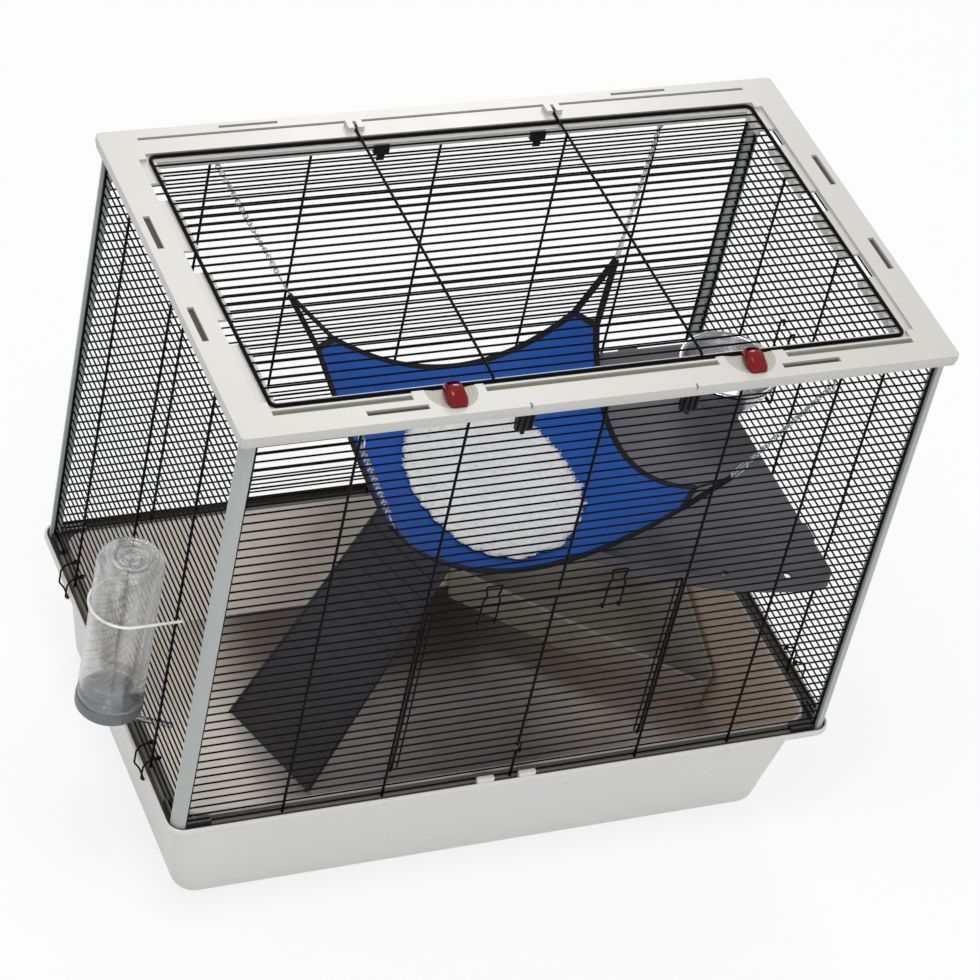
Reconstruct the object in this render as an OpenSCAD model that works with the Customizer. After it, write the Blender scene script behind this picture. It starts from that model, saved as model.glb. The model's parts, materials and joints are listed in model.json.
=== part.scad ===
// Wire cage for ferrets: a deep plastic tray, four welded wire panels between corner posts,
// a moulded top frame with a hinged wire roof, and the fittings inside.
// X runs to the right, Y to the back, Z up. The origin is the centre of the tray's underside.

/* [Overall] */
// Length of the cage from side to side
cage_l = 780; // [760:5:820]
// Depth of the cage from front to back
cage_d = 480; // [470:5:510]
// Height from the underside of the tray to the top of the frame
cage_h = 700; // [690:5:740]

/* [Base tray] */
// Height of the floor of the gutter that the panels stand in
gutter_z = 148; // [144:1:152]
// Width of the gutter round the rim
gutter_w = 17; // [17:0.5:20]
// Thickness of the lip outside the gutter
lip_t = 3; // [2:0.5:4]
// Height of the lip above the gutter floor
lip_up = 5; // [3:0.5:7]
// Thickness of the rim under the gutter
rim_t = 3; // [2:0.5:5]
// Thickness of the tray's side walls
wall_t = 3; // [2:0.5:4]
// Thickness of the tray's floor
floor_t = 4; // [3:0.5:6]
// How far each wall leans in from the rim to the floor
tray_taper = 20; // [10:1:30]
// Radius of the tray's upright corners
tray_corner_r = 25; // [20:1:35]
// Radius of the rim's corners
rim_corner_r = 19; // [16:0.5:19]
// Height of the raised pad that the tray stands on
foot_h = 1; // [0.5:0.5:3]
// Length of the two tongues on the front rim
tab_l = 20; // [14:1:26]
// Height of the two tongues above the gutter floor
tab_h = 10; // [6:1:12]

/* [Corner posts] */
// Width of each face of a post, and the radius of its rounded outside
post_s = 13; // [11:0.5:14]
// Wall of the hollow post
post_wall = 2; // [1.5:0.25:3]
// Length of the foot plate beside a post
foot_l = 30; // [20:1:40]
// Width of the foot plate
foot_w = 9; // [8:0.5:10]
// Height of the foot plate
foot_plate_h = 6; // [5:0.5:8]
// Floor of the foot plate's groove
foot_floor = 1.2; // [1:0.1:2]

/* [Wire] */
// Spacing of the level bars of the wall panels
pitch = 11.5; // [11:0.5:12]
// Spacing of the roof door's bars
roof_pitch = 12.5; // [11.5:0.5:14]
// Diameter of the level bars
bar_d = 2; // [1.8:0.1:2.4]
// Diameter of the upright bars
upright_d = 3; // [2.6:0.1:3.4]
// Diameter of the roof door's border wire
border_d = 4; // [3.4:0.1:4.4]
// Diameter of the wire that catches, eyes and door latches are bent from
catch_d = 2.2; // [1.8:0.1:2.6]
// How deep crossing wires are welded into each other
weld = 0.3; // [0.2:0.05:0.4]
// How far the panels stand in from the outside of the cage
panel_in = 12.5; // [12:0.25:13]
// Distance of the inner uprights from the centre of a long panel
upright_inner = 149; // [146:1:160]
// Distance of the outer uprights from the centre of a long panel
upright_outer = 262; // [240:1:300]
// Distance of the uprights from the centre of a side panel
upright_side = 140; // [130:1:150]

/* [Top frame] */
// Height of the top frame's outer face
frame_h = 13; // [12:1:18]
// Thickness of the frame's top plate
plate_t = 4; // [3:0.5:5]
// Wall of the frame's outer skirt
skirt_t = 3; // [2:0.5:3]
// Wall of the frame's inner flange
flange_t = 2.5; // [2:0.25:3]
// Outside radius of the frame's corners
frame_corner_r = 5; // [4:1:8]
// Width of the side bars up to the ledge
side_bar = 32; // [31:0.5:34]
// Width of the ledge along the side bars
side_ledge_w = 19; // [17:0.5:20]
// Width of the front bar up to the door's rebate
front_bar = 40; // [38:1:44]
// Width of the back bar up to the door's rebate
back_bar = 41; // [38:1:46]
// Width of the ledge that the roof door lies on
ledge_w = 10; // [8:1:11]
// Depth of the rebate that the roof door lies in
rebate_d = 4; // [3:0.5:5]
// Length of the recesses in the side bars
slot_l = 52; // [40:1:60]
// Width of the recesses in the side and front bars
slot_w = 7; // [5:0.5:8]
// Depth of the recesses
slot_d = 3.2; // [2:0.1:3.2]
// Width of the long grooves
groove_w = 7; // [5:0.5:8]
// Depth of the long grooves
groove_d = 2.6; // [1:0.1:2.8]

/* [Roof door and latches] */
// Distance of the two cross bars and hinge clips from the centre
hinge_x = 114; // [100:1:125]
// Distance from the back of the cage to the hinge pin
hinge_in = 27; // [26:0.5:30]
// Length of the hinge pin
hinge_pin_l = 16; // [12:1:20]
// Height of a hinge clip above the frame
clip_up = 6; // [5:0.5:8]
// Distance of the red latches from the centre
latch_x = 163; // [150:1:175]
// Length of a red latch
latch_l = 31; // [28:0.5:33]
// Width of a red latch
latch_w = 24; // [20:0.5:26]
// Height of a red latch above the frame
latch_h = 13.5; // [12:0.5:16]
// Diameter of the pin that a red latch turns on
latch_pin_d = 6; // [4:0.5:8]
// Radius of the stepped dish behind a latch
dish_r = 27; // [24:0.5:29]

/* [Front door] */
// Half the width of the front door
door_half = 145; // [140:0.5:146]
// Number of the panel bar that the door hinges on
door_bar_low = 3; // [2:1:5]
// Number of the panel bar above the doorway
door_bar_high = 24; // [20:1:28]
// Width between the legs of a door latch
door_latch_w = 19; // [15:1:25]
// Height of a door latch
door_latch_h = 53; // [40:1:60]

/* [Tray catches] */
// Half the width of a catch
catch_half = 12; // [8:1:14]

/* [Shelf and ladder] */
// Height of the top of the shelf
shelf_z = 329; // [327:0.5:330]
// Radius of the shelf's curved edge
shelf_r = 402; // [382:1:410]
// Radius of the shelf's front corner
shelf_corner = 14; // [8:1:20]
// Height of the shelf's skirt
skirt_h = 17; // [14:1:22]
// Thickness of the shelf's plastic
shelf_t = 3; // [2:0.5:4]
// Width of the ladder at its foot
ladder_w = 145; // [120:1:150]
// Width of the ladder at the shelf
ladder_top_w = 112; // [90:1:120]
// How far the foot of the ladder stands out from the shelf's edge
ladder_run = 201; // [185:1:215]
// Thickness of the ladder's plate
ladder_t = 4; // [3:0.5:6]
// Height of the ladder's side rails above its plate
rail_h = 2.5; // [1:0.5:6]
// Spacing of the ladder's ribs
rib_pitch = 23; // [18:1:30]
// Direction in which the ladder climbs, from +X towards +Y
ladder_turn = 18.8; // [17:0.1:22]

/* [Litter pan] */
// Length of the pan along the cage's back wall
pan_back_leg = 248; // [230:2:270]
// Length of the pan along the cage's side wall
pan_side_leg = 262; // [240:2:280]
// Height of the pan's back corner
pan_h = 105; // [90:1:120]
// Height of the pan's front wall
pan_lip_h = 54; // [45:1:65]
// Height of the low place in the pan's front wall
pan_scoop_h = 24; // [15:1:35]
// Thickness of the pan's walls
pan_t = 3; // [2:0.5:4]

/* [Food bowl] */
// Inside radius of the bowl at its rim
bowl_r = 52; // [48:0.5:54]
// Depth of the bowl
bowl_h = 42; // [35:1:50]
// Thickness of the bowl's steel
bowl_t = 1.2; // [0.8:0.1:1.6]
// Distance of the bowl's centre from the right wall
bowl_out = 61.5; // [60:0.5:66]
// Distance of the bowl's centre behind the middle of the cage
bowl_y = 50; // [40:1:60]
// Number of the side panel bar that the bowl's ring hooks on
bowl_bar = 30; // [28:1:32]
// Height of the bowl ring below that bar
ring_drop = 45; // [40:1:50]

/* [Water bottle] */
// Outside radius of the bottle
bottle_r = 35; // [32:0.5:36]
// Length of the bottle's clear body
bottle_h = 197; // [160:1:220]
// Wall of the bottle
bottle_wall = 1.5; // [1:0.25:2]
// Distance of the bottle's centre outside the left panel
bottle_out = 49.5; // [48:0.5:54]
// Distance of the bottle's centre in front of the middle of the cage
bottle_y = 113; // [112:0.5:116]
// Height of the bottle's cap
cap_h = 14; // [12:1:18]
// Outside radius of the drinking spout
spout_r = 3.5; // [3:0.1:3.6]
// Wall of the drinking spout
spout_wall = 0.8; // [0.6:0.1:1]
// Number of the side panel bar that the bottle's hoop hooks on
hoop_bar = 19; // [18:1:22]

/* [Hammock] */
// Thickness of the hammock's cloth
cloth_t = 3; // [2:0.5:4]
// Thickness of the fleece pad
fleece_t = 6; // [4:0.5:10]
// Half the width of the fleece pad, as a share of half the cloth
fleece_wide = 0.62; // [0.5:0.01:0.7]
// Half the length of the fleece pad, as a share of half the cloth
fleece_long = 0.76; // [0.6:0.01:0.8]
// How many bars below the top bar the hammock's chains hang
chain_down = 2; // [1:1:3]
// Radius of a chain's top ring
ring_r = 7; // [6.9:0.05:7.1]
// Diameter of a chain
chain_d = 3; // [2:0.5:4]

/* [Hidden] */

$fn = 48;
wire_sides = 8;
flat = cos(180 / wire_sides);
clear = 0.3;
pin_clear = 0.05;
cut = 1;
eye_clear = 0.25;
eye_wall = 1.4;
eye_l = 3;
corner_steps = 8;

// Tray
ridge_l = cage_l - 2 * (lip_t + gutter_w);
ridge_d = cage_d - 2 * (lip_t + gutter_w);
tab_x = [-32, 17];
tab_t = 5;

// Posts stand in the gutter, just inside its corners
post_gap = 1.5;
post_x = ridge_l / 2 + post_gap;
post_y = ridge_d / 2 + post_gap;
post_z0 = gutter_z + clear;
frame_under = cage_h - plate_t;
foot_top = post_z0 + foot_plate_h;

// Panels
bar_r = bar_d / 2;
upright_r = upright_d / 2;
panel_x = cage_l / 2 - panel_in;
panel_y = cage_d / 2 - panel_in;
panel_z0 = post_z0 + foot_floor + clear + bar_r;
panel_top = frame_under - clear;
bars = floor((panel_top - bar_d - panel_z0) / pitch);
upright_out = (bar_r + upright_r) * flat - weld;
edge_x = post_x - clear - upright_r;
edge_y = post_y - clear - upright_r;
hairline = 0.05;
function bar_z(k) = panel_z0 + k * pitch;

// Top frame
open_x = cage_l / 2 - side_bar - side_ledge_w;
open_front = -(cage_d / 2 - front_bar - ledge_w);
open_back = cage_d / 2 - back_bar - ledge_w;
ledge_z = cage_h - rebate_d;
ledge_t = 3;
ledge_end = open_x + ledge_w + 1;
ear_out = 2.5;
ear_x = [127, 203];
side_end = 8;
step_h = 5;
step_in = 1;
slot_y = [74, -70];
slot_in = 11;
long_slot_x = 225;
long_slot_l = 65;
back_slot_in = 6.5;
back_slot_w = 4;
front_slot_in = 16;
edge_slot_w = 2.5;
edge_slot_h = 5;
notch_y = [141, 28, -82];
notch_l = [29, 35, 38];
groove_in_front = 31.5;
groove_stop = 36;
groove_start = 41;
groove_in_back = 16;
groove_back_w = 4;
groove_end = 349;

// Roof door
border_r = border_d / 2;
border_gap = 1.5;
border_x = open_x + ledge_w - border_gap - border_r;
border_front = -(cage_d / 2 - front_bar - border_gap - border_r);
border_back = cage_d / 2 - back_bar - border_gap - border_r;
border_z = ledge_z + clear + border_r;
roof_bar_r = bar_r + 0.1;
roof_bar_z = border_z + 1.2;
cross_z = max(roof_bar_z + (roof_bar_r + upright_r) * flat - weld, cage_h + clear + upright_r);
hinge_y = cage_d / 2 - hinge_in;
roof_bars = floor((border_back - border_front - roof_pitch / 2) / roof_pitch);
clip_w = 18;
clip_foot = 4;
clip_back = 7;

// Red latches
latch_z = cage_h + clear;
latch_gap = 1.2;
latch_y = border_front - border_r - latch_gap - latch_l / 2;
latch_pin_top = 9;
dish_y = -(cage_d / 2 - 35);
dish_steps = 3;
dish_step_r = 4;
dish_step_d = 0.7;

// Front door
door_z = bar_z(door_bar_low);
door_lift = 5;
door_top = bar_z(door_bar_high - 1);
door_eye_x = [-door_half, 5, door_half];
double_in = 6;
eye_bore = bar_r + eye_clear;
eye_r = eye_bore + eye_wall;
catch_r = catch_d / 2;
door_latch_x = [-75.5, 66.5];
door_latch_bar = door_bar_high - 3;
latch_out = upright_r + clear + catch_r;

// Tray catches hang on this bar of the side panels
catch_bar = 2;
catch_out = 3.5;
catch_drop = 6;
catch_tuck = 2;

// Panel clips
clip_x = 90;
front_clip_w = 18;
front_clip_bar = bars - 2;
front_clip_drop = 5;
back_clip_w = 18;
back_clip_t = 2.5;

// Shelf
shelf_x = panel_x - bar_r - clear;
shelf_y = panel_y - bar_r - clear;
shelf_notch = 8;
shelf_hook_l = 24;
shelf_hook_t = 2.5;
shelf_hole_r = 4.5;
shelf_hole_in = 10;
shelf_hole_turn = [18.3, 7.9];
shelf_hook_y = [-99, 110];
shelf_hook_x = [296, 60];
hook_bar = floor((shelf_z - 4 - panel_z0) / pitch);

// Ladder, in its own frame at the shelf's edge
ladder_at = 25.66;
ladder_off = 2.8;
ladder_edge = [shelf_x - (shelf_r + ladder_off) * cos(ladder_at),
    shelf_y - (shelf_r + ladder_off) * sin(ladder_at)];
tongue_l = 22;
tongue_z = shelf_z + clear;
tongue_t = 3;
ladder_z0 = floor_t + clear;
ladder_gap = 0.6;
ladder_slope = atan2(tongue_z - ladder_z0, ladder_run - ladder_gap);
rail_w = 3;
rib_h = 1.5;
rib_w = 4;
function ladder_half(z) = (ladder_w + (ladder_top_w - ladder_w) * z / tongue_z) / 2;
function ladder_x(z, off) = -ladder_run - off / sin(ladder_slope)
    + (z - ladder_z0) / tan(ladder_slope);

// Litter pan
pan_gap = 4;
pan_x = ridge_l / 2 - wall_t - tray_taper - pan_gap;
pan_y = ridge_d / 2 - wall_t - tray_taper - pan_gap;
pan_lean = 9;
pan_corner_r = 22;
pan_front_r = 16;
pan_turn = atan2(pan_back_leg, pan_side_leg);
pan_reach = pan_side_leg * sin(pan_turn);
pan_rise = 26;
pan_scoop_r = 139;
pan_scoop_l = 60;

// Food bowl
bowl_x = panel_x - bowl_out;
ring_z = bar_z(bowl_bar) - ring_drop;
ring_wire = 1.5;
bowl_ring_r = bowl_r + bowl_t + clear + ring_wire + 0.5;
bowl_rim_z = ring_z + ring_wire + clear;
bowl_lip = 5;
bowl_foot_r = 38;
arm_y = 13;
arm_r = 1.3;
brace_drop = 52;

// Water bottle, whose spout comes in above this bar of the side panel
spout_bar = 3;
bottle_x = -panel_x - bottle_out;
spout_gap_z = (bar_z(spout_bar) + bar_z(spout_bar + 1)) / 2;
spout_tilt = 25.6;
hub_r = 11;
hub_h = 8;
spout_z = spout_gap_z + bottle_out * tan(spout_tilt);
cap_z = spout_z + hub_h + 5;
cap_over = 1;
cap_floor = 3;
neck_in = 4;
seal_t = 1.6;
seal_w = 6;
spout_reach = 26;
ball_r = 2.4;
ball_lip = 0.7;
dome_h = 14;
hoop_r = bottle_r + clear + ring_wire;
hoop_z = bar_z(hoop_bar) + bar_r + clear + ring_wire;

// Hammock: nine points that its cloth passes through, rows from front to back
hammock = [
    [[-171, -168, 478], [9, -150, 382], [203, -158, 476]],
    [[-140, 6, 430], [12, 0, 382], [178, 12, 388]],
    [[-146, 165, 478], [34, 152, 404], [200, 168, 476]]];
cloth_steps = 12;
fleece_mid = -0.13;
fleece_rings = 6;
fleece_sides = 28;
strap_r = 2.2;
strap_share = 1 - 2 / cloth_steps;
strap_start = 4.8;
corner_cut = 0.75;
apex = [[[-180, -185, 502], [206, -174, 502]], [[-165, 186, 502], [226, 191, 500]]];
ring_wire_r = 1;
ring_hang_y = 3.5;
ring_hang_z = 3.1;
ring_side = 5;

function unit(v) = v / norm(v);
function corner_arc(cx, cy, r, a0) =
    [for (i = [0:corner_steps]) let (a = a0 + 90 * i / corner_steps) [cx + r * cos(a), cy + r * sin(a)]];
function round_outline(l, d, r) = concat(
    corner_arc(l / 2 - r, d / 2 - r, r, 0), corner_arc(-l / 2 + r, d / 2 - r, r, 90),
    corner_arc(-l / 2 + r, -d / 2 + r, r, 180), corner_arc(l / 2 - r, -d / 2 + r, r, 270));

// Rounded rectangular plate, centred, standing on z
module slab(l, d, z, h, r) {
    translate([0, 0, z]) linear_extrude(h) polygon(round_outline(l, d, r));
}

// Box between two corners
module block(a, b) {
    translate(a) cube(b - a);
}

// Straight wire between two points
module rod(p, q, r) {
    d = q - p;
    translate(p) rotate([0, acos(d[2] / norm(d)), atan2(d[1], d[0])])
        rotate([0, 0, 180 / wire_sides]) cylinder(h = norm(d), r = r, $fn = wire_sides);
}

// Wire bent through a row of points
module bent_wire(points, r) {
    for (i = [0:len(points) - 2]) {
        ahead = unit(points[i + 1] - points[i]) * r * 0.5;
        rod(points[i] - (i > 0 ? 1 : 0) * ahead,
            points[i + 1] + (i < len(points) - 2 ? 1 : 0) * ahead, r);
    }
}

// Eye of wire round a bar along X, centred on the origin
module eye_x() {
    rotate([0, 90, 0]) difference() {
        cylinder(h = eye_l, r = eye_r, center = true);
        cylinder(h = eye_l + 2 * cut, r = eye_bore, center = true);
    }
}

// ---------------------------------------------------------------- tray
module tray_hull(l, d, z0, z1, lean, r) {
    hull() {
        slab(l - 2 * lean, d - 2 * lean, z0, 0.1, r);
        slab(l, d, z1 - 0.1, 0.1, r);
    }
}

module base_tray() color("#d8d8d3") {
    lip_z = gutter_z + lip_up;
    difference() {
        union() {
            tray_hull(ridge_l, ridge_d, foot_h, gutter_z, tray_taper, tray_corner_r);
            slab(ridge_l - 2 * tray_taper - 4, ridge_d - 2 * tray_taper - 4, 0, foot_h + cut, tray_corner_r);
            slab(cage_l, cage_d, gutter_z - rim_t, rim_t + lip_up, rim_corner_r);
        }
        difference() {
            slab(cage_l - 2 * lip_t, cage_d - 2 * lip_t, gutter_z, lip_up + cut, rim_corner_r - lip_t);
            slab(ridge_l, ridge_d, gutter_z - cut, lip_up + 3 * cut, tray_corner_r);
        }
        tray_hull(ridge_l - 2 * wall_t, ridge_d - 2 * wall_t, floor_t, lip_z + 0.2, tray_taper,
            tray_corner_r - wall_t);
    }
    for (x = tab_x)
        block([x - tab_l / 2, -cage_d / 2 + lip_t - cut, gutter_z - cut],
            [x + tab_l / 2, -cage_d / 2 + lip_t + tab_t, gutter_z + tab_h]);
}

// ---------------------------------------------------------------- corner posts
module quarter(r, h) {
    intersection() {
        cylinder(h = h, r = r);
        cube([r + cut, r + cut, h]);
    }
}

module foot_arm(centre, length) {
    difference() {
        block([-length, centre - foot_w / 2, 0], [post_wall * 2, centre + foot_w / 2, foot_plate_h]);
        block([-length - cut, centre - bar_r - clear, foot_floor],
            [post_s, centre + bar_r + clear, foot_plate_h + cut]);
    }
}

module post(sx, sy) color("#b9bfbd") {
    post_h = panel_top - post_z0;
    mirror([sx < 0 ? 1 : 0, 0, 0]) mirror([0, sy < 0 ? 1 : 0, 0]) translate([post_x, post_y, post_z0]) {
        difference() {
            quarter(post_s, post_h);
            translate([post_wall, post_wall, foot_plate_h]) quarter(post_s - 2 * post_wall, post_h);
            block([-cut, panel_y - post_y - bar_r - clear, foot_floor],
                [post_wall + cut, panel_y - post_y + bar_r + clear, foot_plate_h + cut]);
            block([panel_x - post_x - bar_r - clear, -cut, foot_floor],
                [panel_x - post_x + bar_r + clear, post_wall + cut, foot_plate_h + cut]);
        }
        foot_arm(panel_y - post_y, foot_l);
        mirror([1, -1, 0]) foot_arm(panel_x - post_x, foot_l);
    }
}

module post_front_left() post(-1, -1);
module post_front_right() post(1, -1);
module post_back_left() post(-1, 1);
module post_back_right() post(1, 1);

// ---------------------------------------------------------------- wire panels
// Level bars along X from x0 to x1 for panel bar numbers k0 to k1
module level_bars(x0, x1, k0, k1) {
    for (k = [k0:k1]) rod([x0, 0, bar_z(k)], [x1, 0, bar_z(k)], bar_r);
}

// Upright bar in front of the level bars
module upright(x, z0, z1, r = upright_r) {
    rod([x, -upright_out, z0], [x, -upright_out, z1], r);
}

// Whole panel that faces -Y, with its level bars in the plane y = 0
module wall_panel(edge, uprights) {
    level_bars(-edge - upright_r, edge + upright_r, 0, bars);
    for (x = uprights) upright(x, post_z0, panel_top);
    for (s = [-1, 1]) upright(s * edge, foot_top + clear, panel_top);
}

module wire_panel_back() color("#1c1c1e") translate([0, panel_y, 0]) rotate([0, 0, 180])
    wall_panel(edge_x, [-upright_outer, -upright_inner, 0, upright_inner, upright_outer]);

module wire_panel_left() color("#1c1c1e") translate([-panel_x, 0, 0]) rotate([0, 0, -90])
    wall_panel(edge_y, [-upright_side, 0, upright_side]);

module wire_panel_right() color("#1c1c1e") translate([panel_x, 0, 0]) rotate([0, 0, 90])
    wall_panel(edge_y, [-upright_side, 0, upright_side]);

// The front panel is welded up from four sections round the doorway
module wire_panel_front() color("#1c1c1e") translate([0, -panel_y, 0]) {
    side = upright_inner - upright_r;
    for (s = [0, 1]) mirror([s, 0, 0]) {
        level_bars(side, edge_x + upright_r, 0, bars);
        upright(upright_inner, post_z0, panel_top);
        upright(upright_outer, post_z0, panel_top);
        upright(edge_x, foot_top + clear, panel_top);
    }
    level_bars(-side + hairline, side - hairline, 0, door_bar_low);
    upright(0, post_z0, door_z);
    level_bars(-side + hairline, side - hairline, door_bar_high, bars);
    upright(0, bar_z(door_bar_high), panel_top);
}

// ---------------------------------------------------------------- front door
module front_door() color("#1c1c1e") translate([0, -panel_y, 0]) {
    level_bars(-door_half - bar_r, door_half + bar_r, door_bar_low + 1, door_bar_high - 2);
    rod([-door_half - bar_r, 0, door_top], [door_half + bar_r, 0, door_top], upright_r);
    for (s = [-1, 1]) {
        upright(s * door_half, door_z + door_lift, door_top);
        upright(s * (door_half - double_in), door_z + door_lift, door_top, bar_r);
    }
    upright(0, bar_z(door_bar_low + 1) - bar_r, door_top);
    for (x = door_eye_x) {
        translate([x, 0, door_z]) eye_x();
        rod([x, 0, door_z + eye_r - bar_r], [x, 0, bar_z(door_bar_low + 1)], catch_r);
    }
}

// Wire bail that hinges on a door bar and snaps over the bar above the doorway
module door_latch(x) color("#1c1c1e") translate([x, -panel_y, bar_z(door_latch_bar)]) {
    half = door_latch_w / 2;
    kink = 3;
    for (s = [-1, 1]) {
        translate([s * half, 0, 0]) eye_x();
        bent_wire([[s * half, -latch_out, -eye_r / 2], [s * half, -latch_out, door_latch_h * 0.6],
            [s * (half - kink), -latch_out, door_latch_h * 0.75], [s * half, -latch_out, door_latch_h]], catch_r);
    }
    rod([-half - catch_r, -latch_out, door_latch_h], [half + catch_r, -latch_out, door_latch_h], catch_r);
}

module front_door_latch_left() door_latch(door_latch_x[0]);
module front_door_latch_right() door_latch(door_latch_x[1]);

// ---------------------------------------------------------------- top frame
// Recess in the frame's top face, centred on x and y
module recess(x, y, length, width, depth) {
    block([x - length / 2, y - width / 2, cage_h - depth], [x + length / 2, y + width / 2, cage_h + cut]);
}

module top_frame() color("#d9d7d1") difference() {
    union() {
        slab(cage_l, cage_d, cage_h - frame_h + step_h, frame_h - step_h, frame_corner_r);
        slab(cage_l - 2 * step_in, cage_d - 2 * step_in, cage_h - frame_h, step_h + cut, frame_corner_r);
    }
    // opening, and the rebate round it, which is wider along the sides and drawn back from the ears
    block([-open_x, open_front, cage_h - frame_h - cut], [open_x, open_back, cage_h + cut]);
    block([-open_x - ledge_w, open_front - ledge_w, ledge_z],
        [open_x + ledge_w, open_back + ledge_w, cage_h + cut]);
    block([-open_x - side_ledge_w, open_front - ledge_w + side_end, ledge_z],
        [open_x + side_ledge_w, open_back + ledge_w - side_end, cage_h + cut]);
    block([-ear_x[0], open_front - ledge_w - ear_out, ledge_z], [ear_x[0], open_front, cage_h + cut]);
    for (sx = [-1, 1])
        recess(sx * (ear_x[1] + groove_end) / 2, open_front - ledge_w, groove_end - ear_x[1], 2 * ear_out,
            rebate_d);
    // channel underneath, between the skirt and the inner flange
    difference() {
        slab(cage_l - 2 * skirt_t, cage_d - 2 * skirt_t, cage_h - frame_h - cut,
            frame_h - plate_t + cut, frame_corner_r - skirt_t);
        block([-open_x - flange_t, open_front - flange_t, cage_h - frame_h - 2 * cut],
            [open_x + flange_t, open_back + flange_t, cage_h]);
        block([-ledge_end, open_front - ledge_w - flange_t - ear_out, ledge_z - ledge_t],
            [ledge_end, open_back + ledge_w + flange_t, cage_h]);
        block([-open_x - side_ledge_w - flange_t, open_front - ledge_w + flange_t, ledge_z - ledge_t],
            [open_x + side_ledge_w + flange_t, open_back + ledge_w - flange_t, cage_h]);
    }
    for (sx = [-1, 1]) {
        for (y = slot_y) recess(sx * (cage_l / 2 - slot_in), y, slot_w, slot_l, slot_d);
        recess(sx * long_slot_x, cage_d / 2 - back_slot_in, long_slot_l, back_slot_w, slot_d);
        recess(sx * long_slot_x, -cage_d / 2 + front_slot_in, long_slot_l, slot_w, slot_d);
        // notches through the side ledge and its flange
        for (i = [0:2])
            block([sx * (open_x + side_ledge_w / 2) - side_ledge_w / 2 - cut, notch_y[i] - notch_l[i] / 2,
                cage_h - frame_h - cut], [sx * (open_x + side_ledge_w / 2) + side_ledge_w / 2 + cut,
                notch_y[i] + notch_l[i] / 2, ledge_z + cut]);
        // groove between the latch and the end of the front bar
        recess(sx * (latch_x + groove_start + groove_end) / 2, -cage_d / 2 + groove_in_front,
            groove_end - latch_x - groove_start, groove_w, groove_d);
        // stepped dish round the latch and the hole for its pin
        for (i = [0:dish_steps - 1]) translate([sx * latch_x, dish_y, cage_h - (i + 1) * dish_step_d])
            cylinder(h = frame_h, r = dish_r - i * dish_step_r);
        translate([sx * latch_x, latch_y, frame_under - cut])
            cylinder(h = plate_t + 2 * cut, r = latch_pin_d / 2 + pin_clear);
        // pocket for the hinge clip
        block([sx * hinge_x - clip_w / 2 - clear / 2, hinge_y - clip_back - clear / 2, frame_under - cut],
            [sx * hinge_x + clip_w / 2 + clear / 2, hinge_y + clip_back + clear / 2, cage_h + cut]);
        // slot in the front edge at each panel clip
        block([sx * clip_x - edge_slot_w / 2, -cage_d / 2 - cut, cage_h - edge_slot_h],
            [sx * clip_x + edge_slot_w / 2, -cage_d / 2 + edge_slot_h, cage_h + cut]);
    }
    recess(0, cage_d / 2 - groove_in_back, 2 * groove_end, groove_back_w, groove_d);
    recess(0, -cage_d / 2 + groove_in_front, 2 * (latch_x - groove_stop), groove_w, groove_d);
}

// ---------------------------------------------------------------- roof door
module roof_door() color("#1c1c1e") {
    for (s = [-1, 1]) {
        rod([s * border_x, border_front - border_r * flat, border_z],
            [s * border_x, border_back + border_r * flat, border_z], border_r);
        rod([s * hinge_x, border_front + border_r, cross_z], [s * hinge_x, hinge_y, cross_z], upright_r);
        rod([s * hinge_x - hinge_pin_l / 2, hinge_y, cross_z],
            [s * hinge_x + hinge_pin_l / 2, hinge_y, cross_z], upright_r);
        // the cross bar is bent down onto the border at the front
        rod([s * hinge_x, border_front, border_z], [s * hinge_x, border_front + 2 * border_r, cross_z], upright_r);
        // and is tied to the back border by a short upright
        rod([s * hinge_x, border_back, border_z], [s * hinge_x, border_back, cross_z], upright_r);
    }
    for (y = [border_front, border_back])
        rod([-border_x - border_r * flat, y, border_z], [border_x + border_r * flat, y, border_z], border_r);
    for (i = [1:roof_bars]) {
        y = border_front + i * roof_pitch;
        rod([-border_x, y, roof_bar_z], [border_x, y, roof_bar_z], roof_bar_r);
    }
}

// Cap that snaps into the frame and carries the roof door's pin
module roof_hinge_clip(sx) color("#d9d7d1") translate([sx * hinge_x, hinge_y, 0]) difference() {
    block([-clip_w / 2, -clip_back, frame_under - clip_foot], [clip_w / 2, clip_back, cage_h + clip_up]);
    translate([0, 0, cross_z]) rotate([0, 90, 0])
        cylinder(h = hinge_pin_l + 2 * clear, r = upright_r + pin_clear, center = true);
    block([-upright_r - clear, -clip_back - cut, cage_h - 1],
        [upright_r + clear, upright_r + 2.5, cage_h + clip_up + cut]);
}

module roof_hinge_clip_left() roof_hinge_clip(-1);
module roof_hinge_clip_right() roof_hinge_clip(1);

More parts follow.
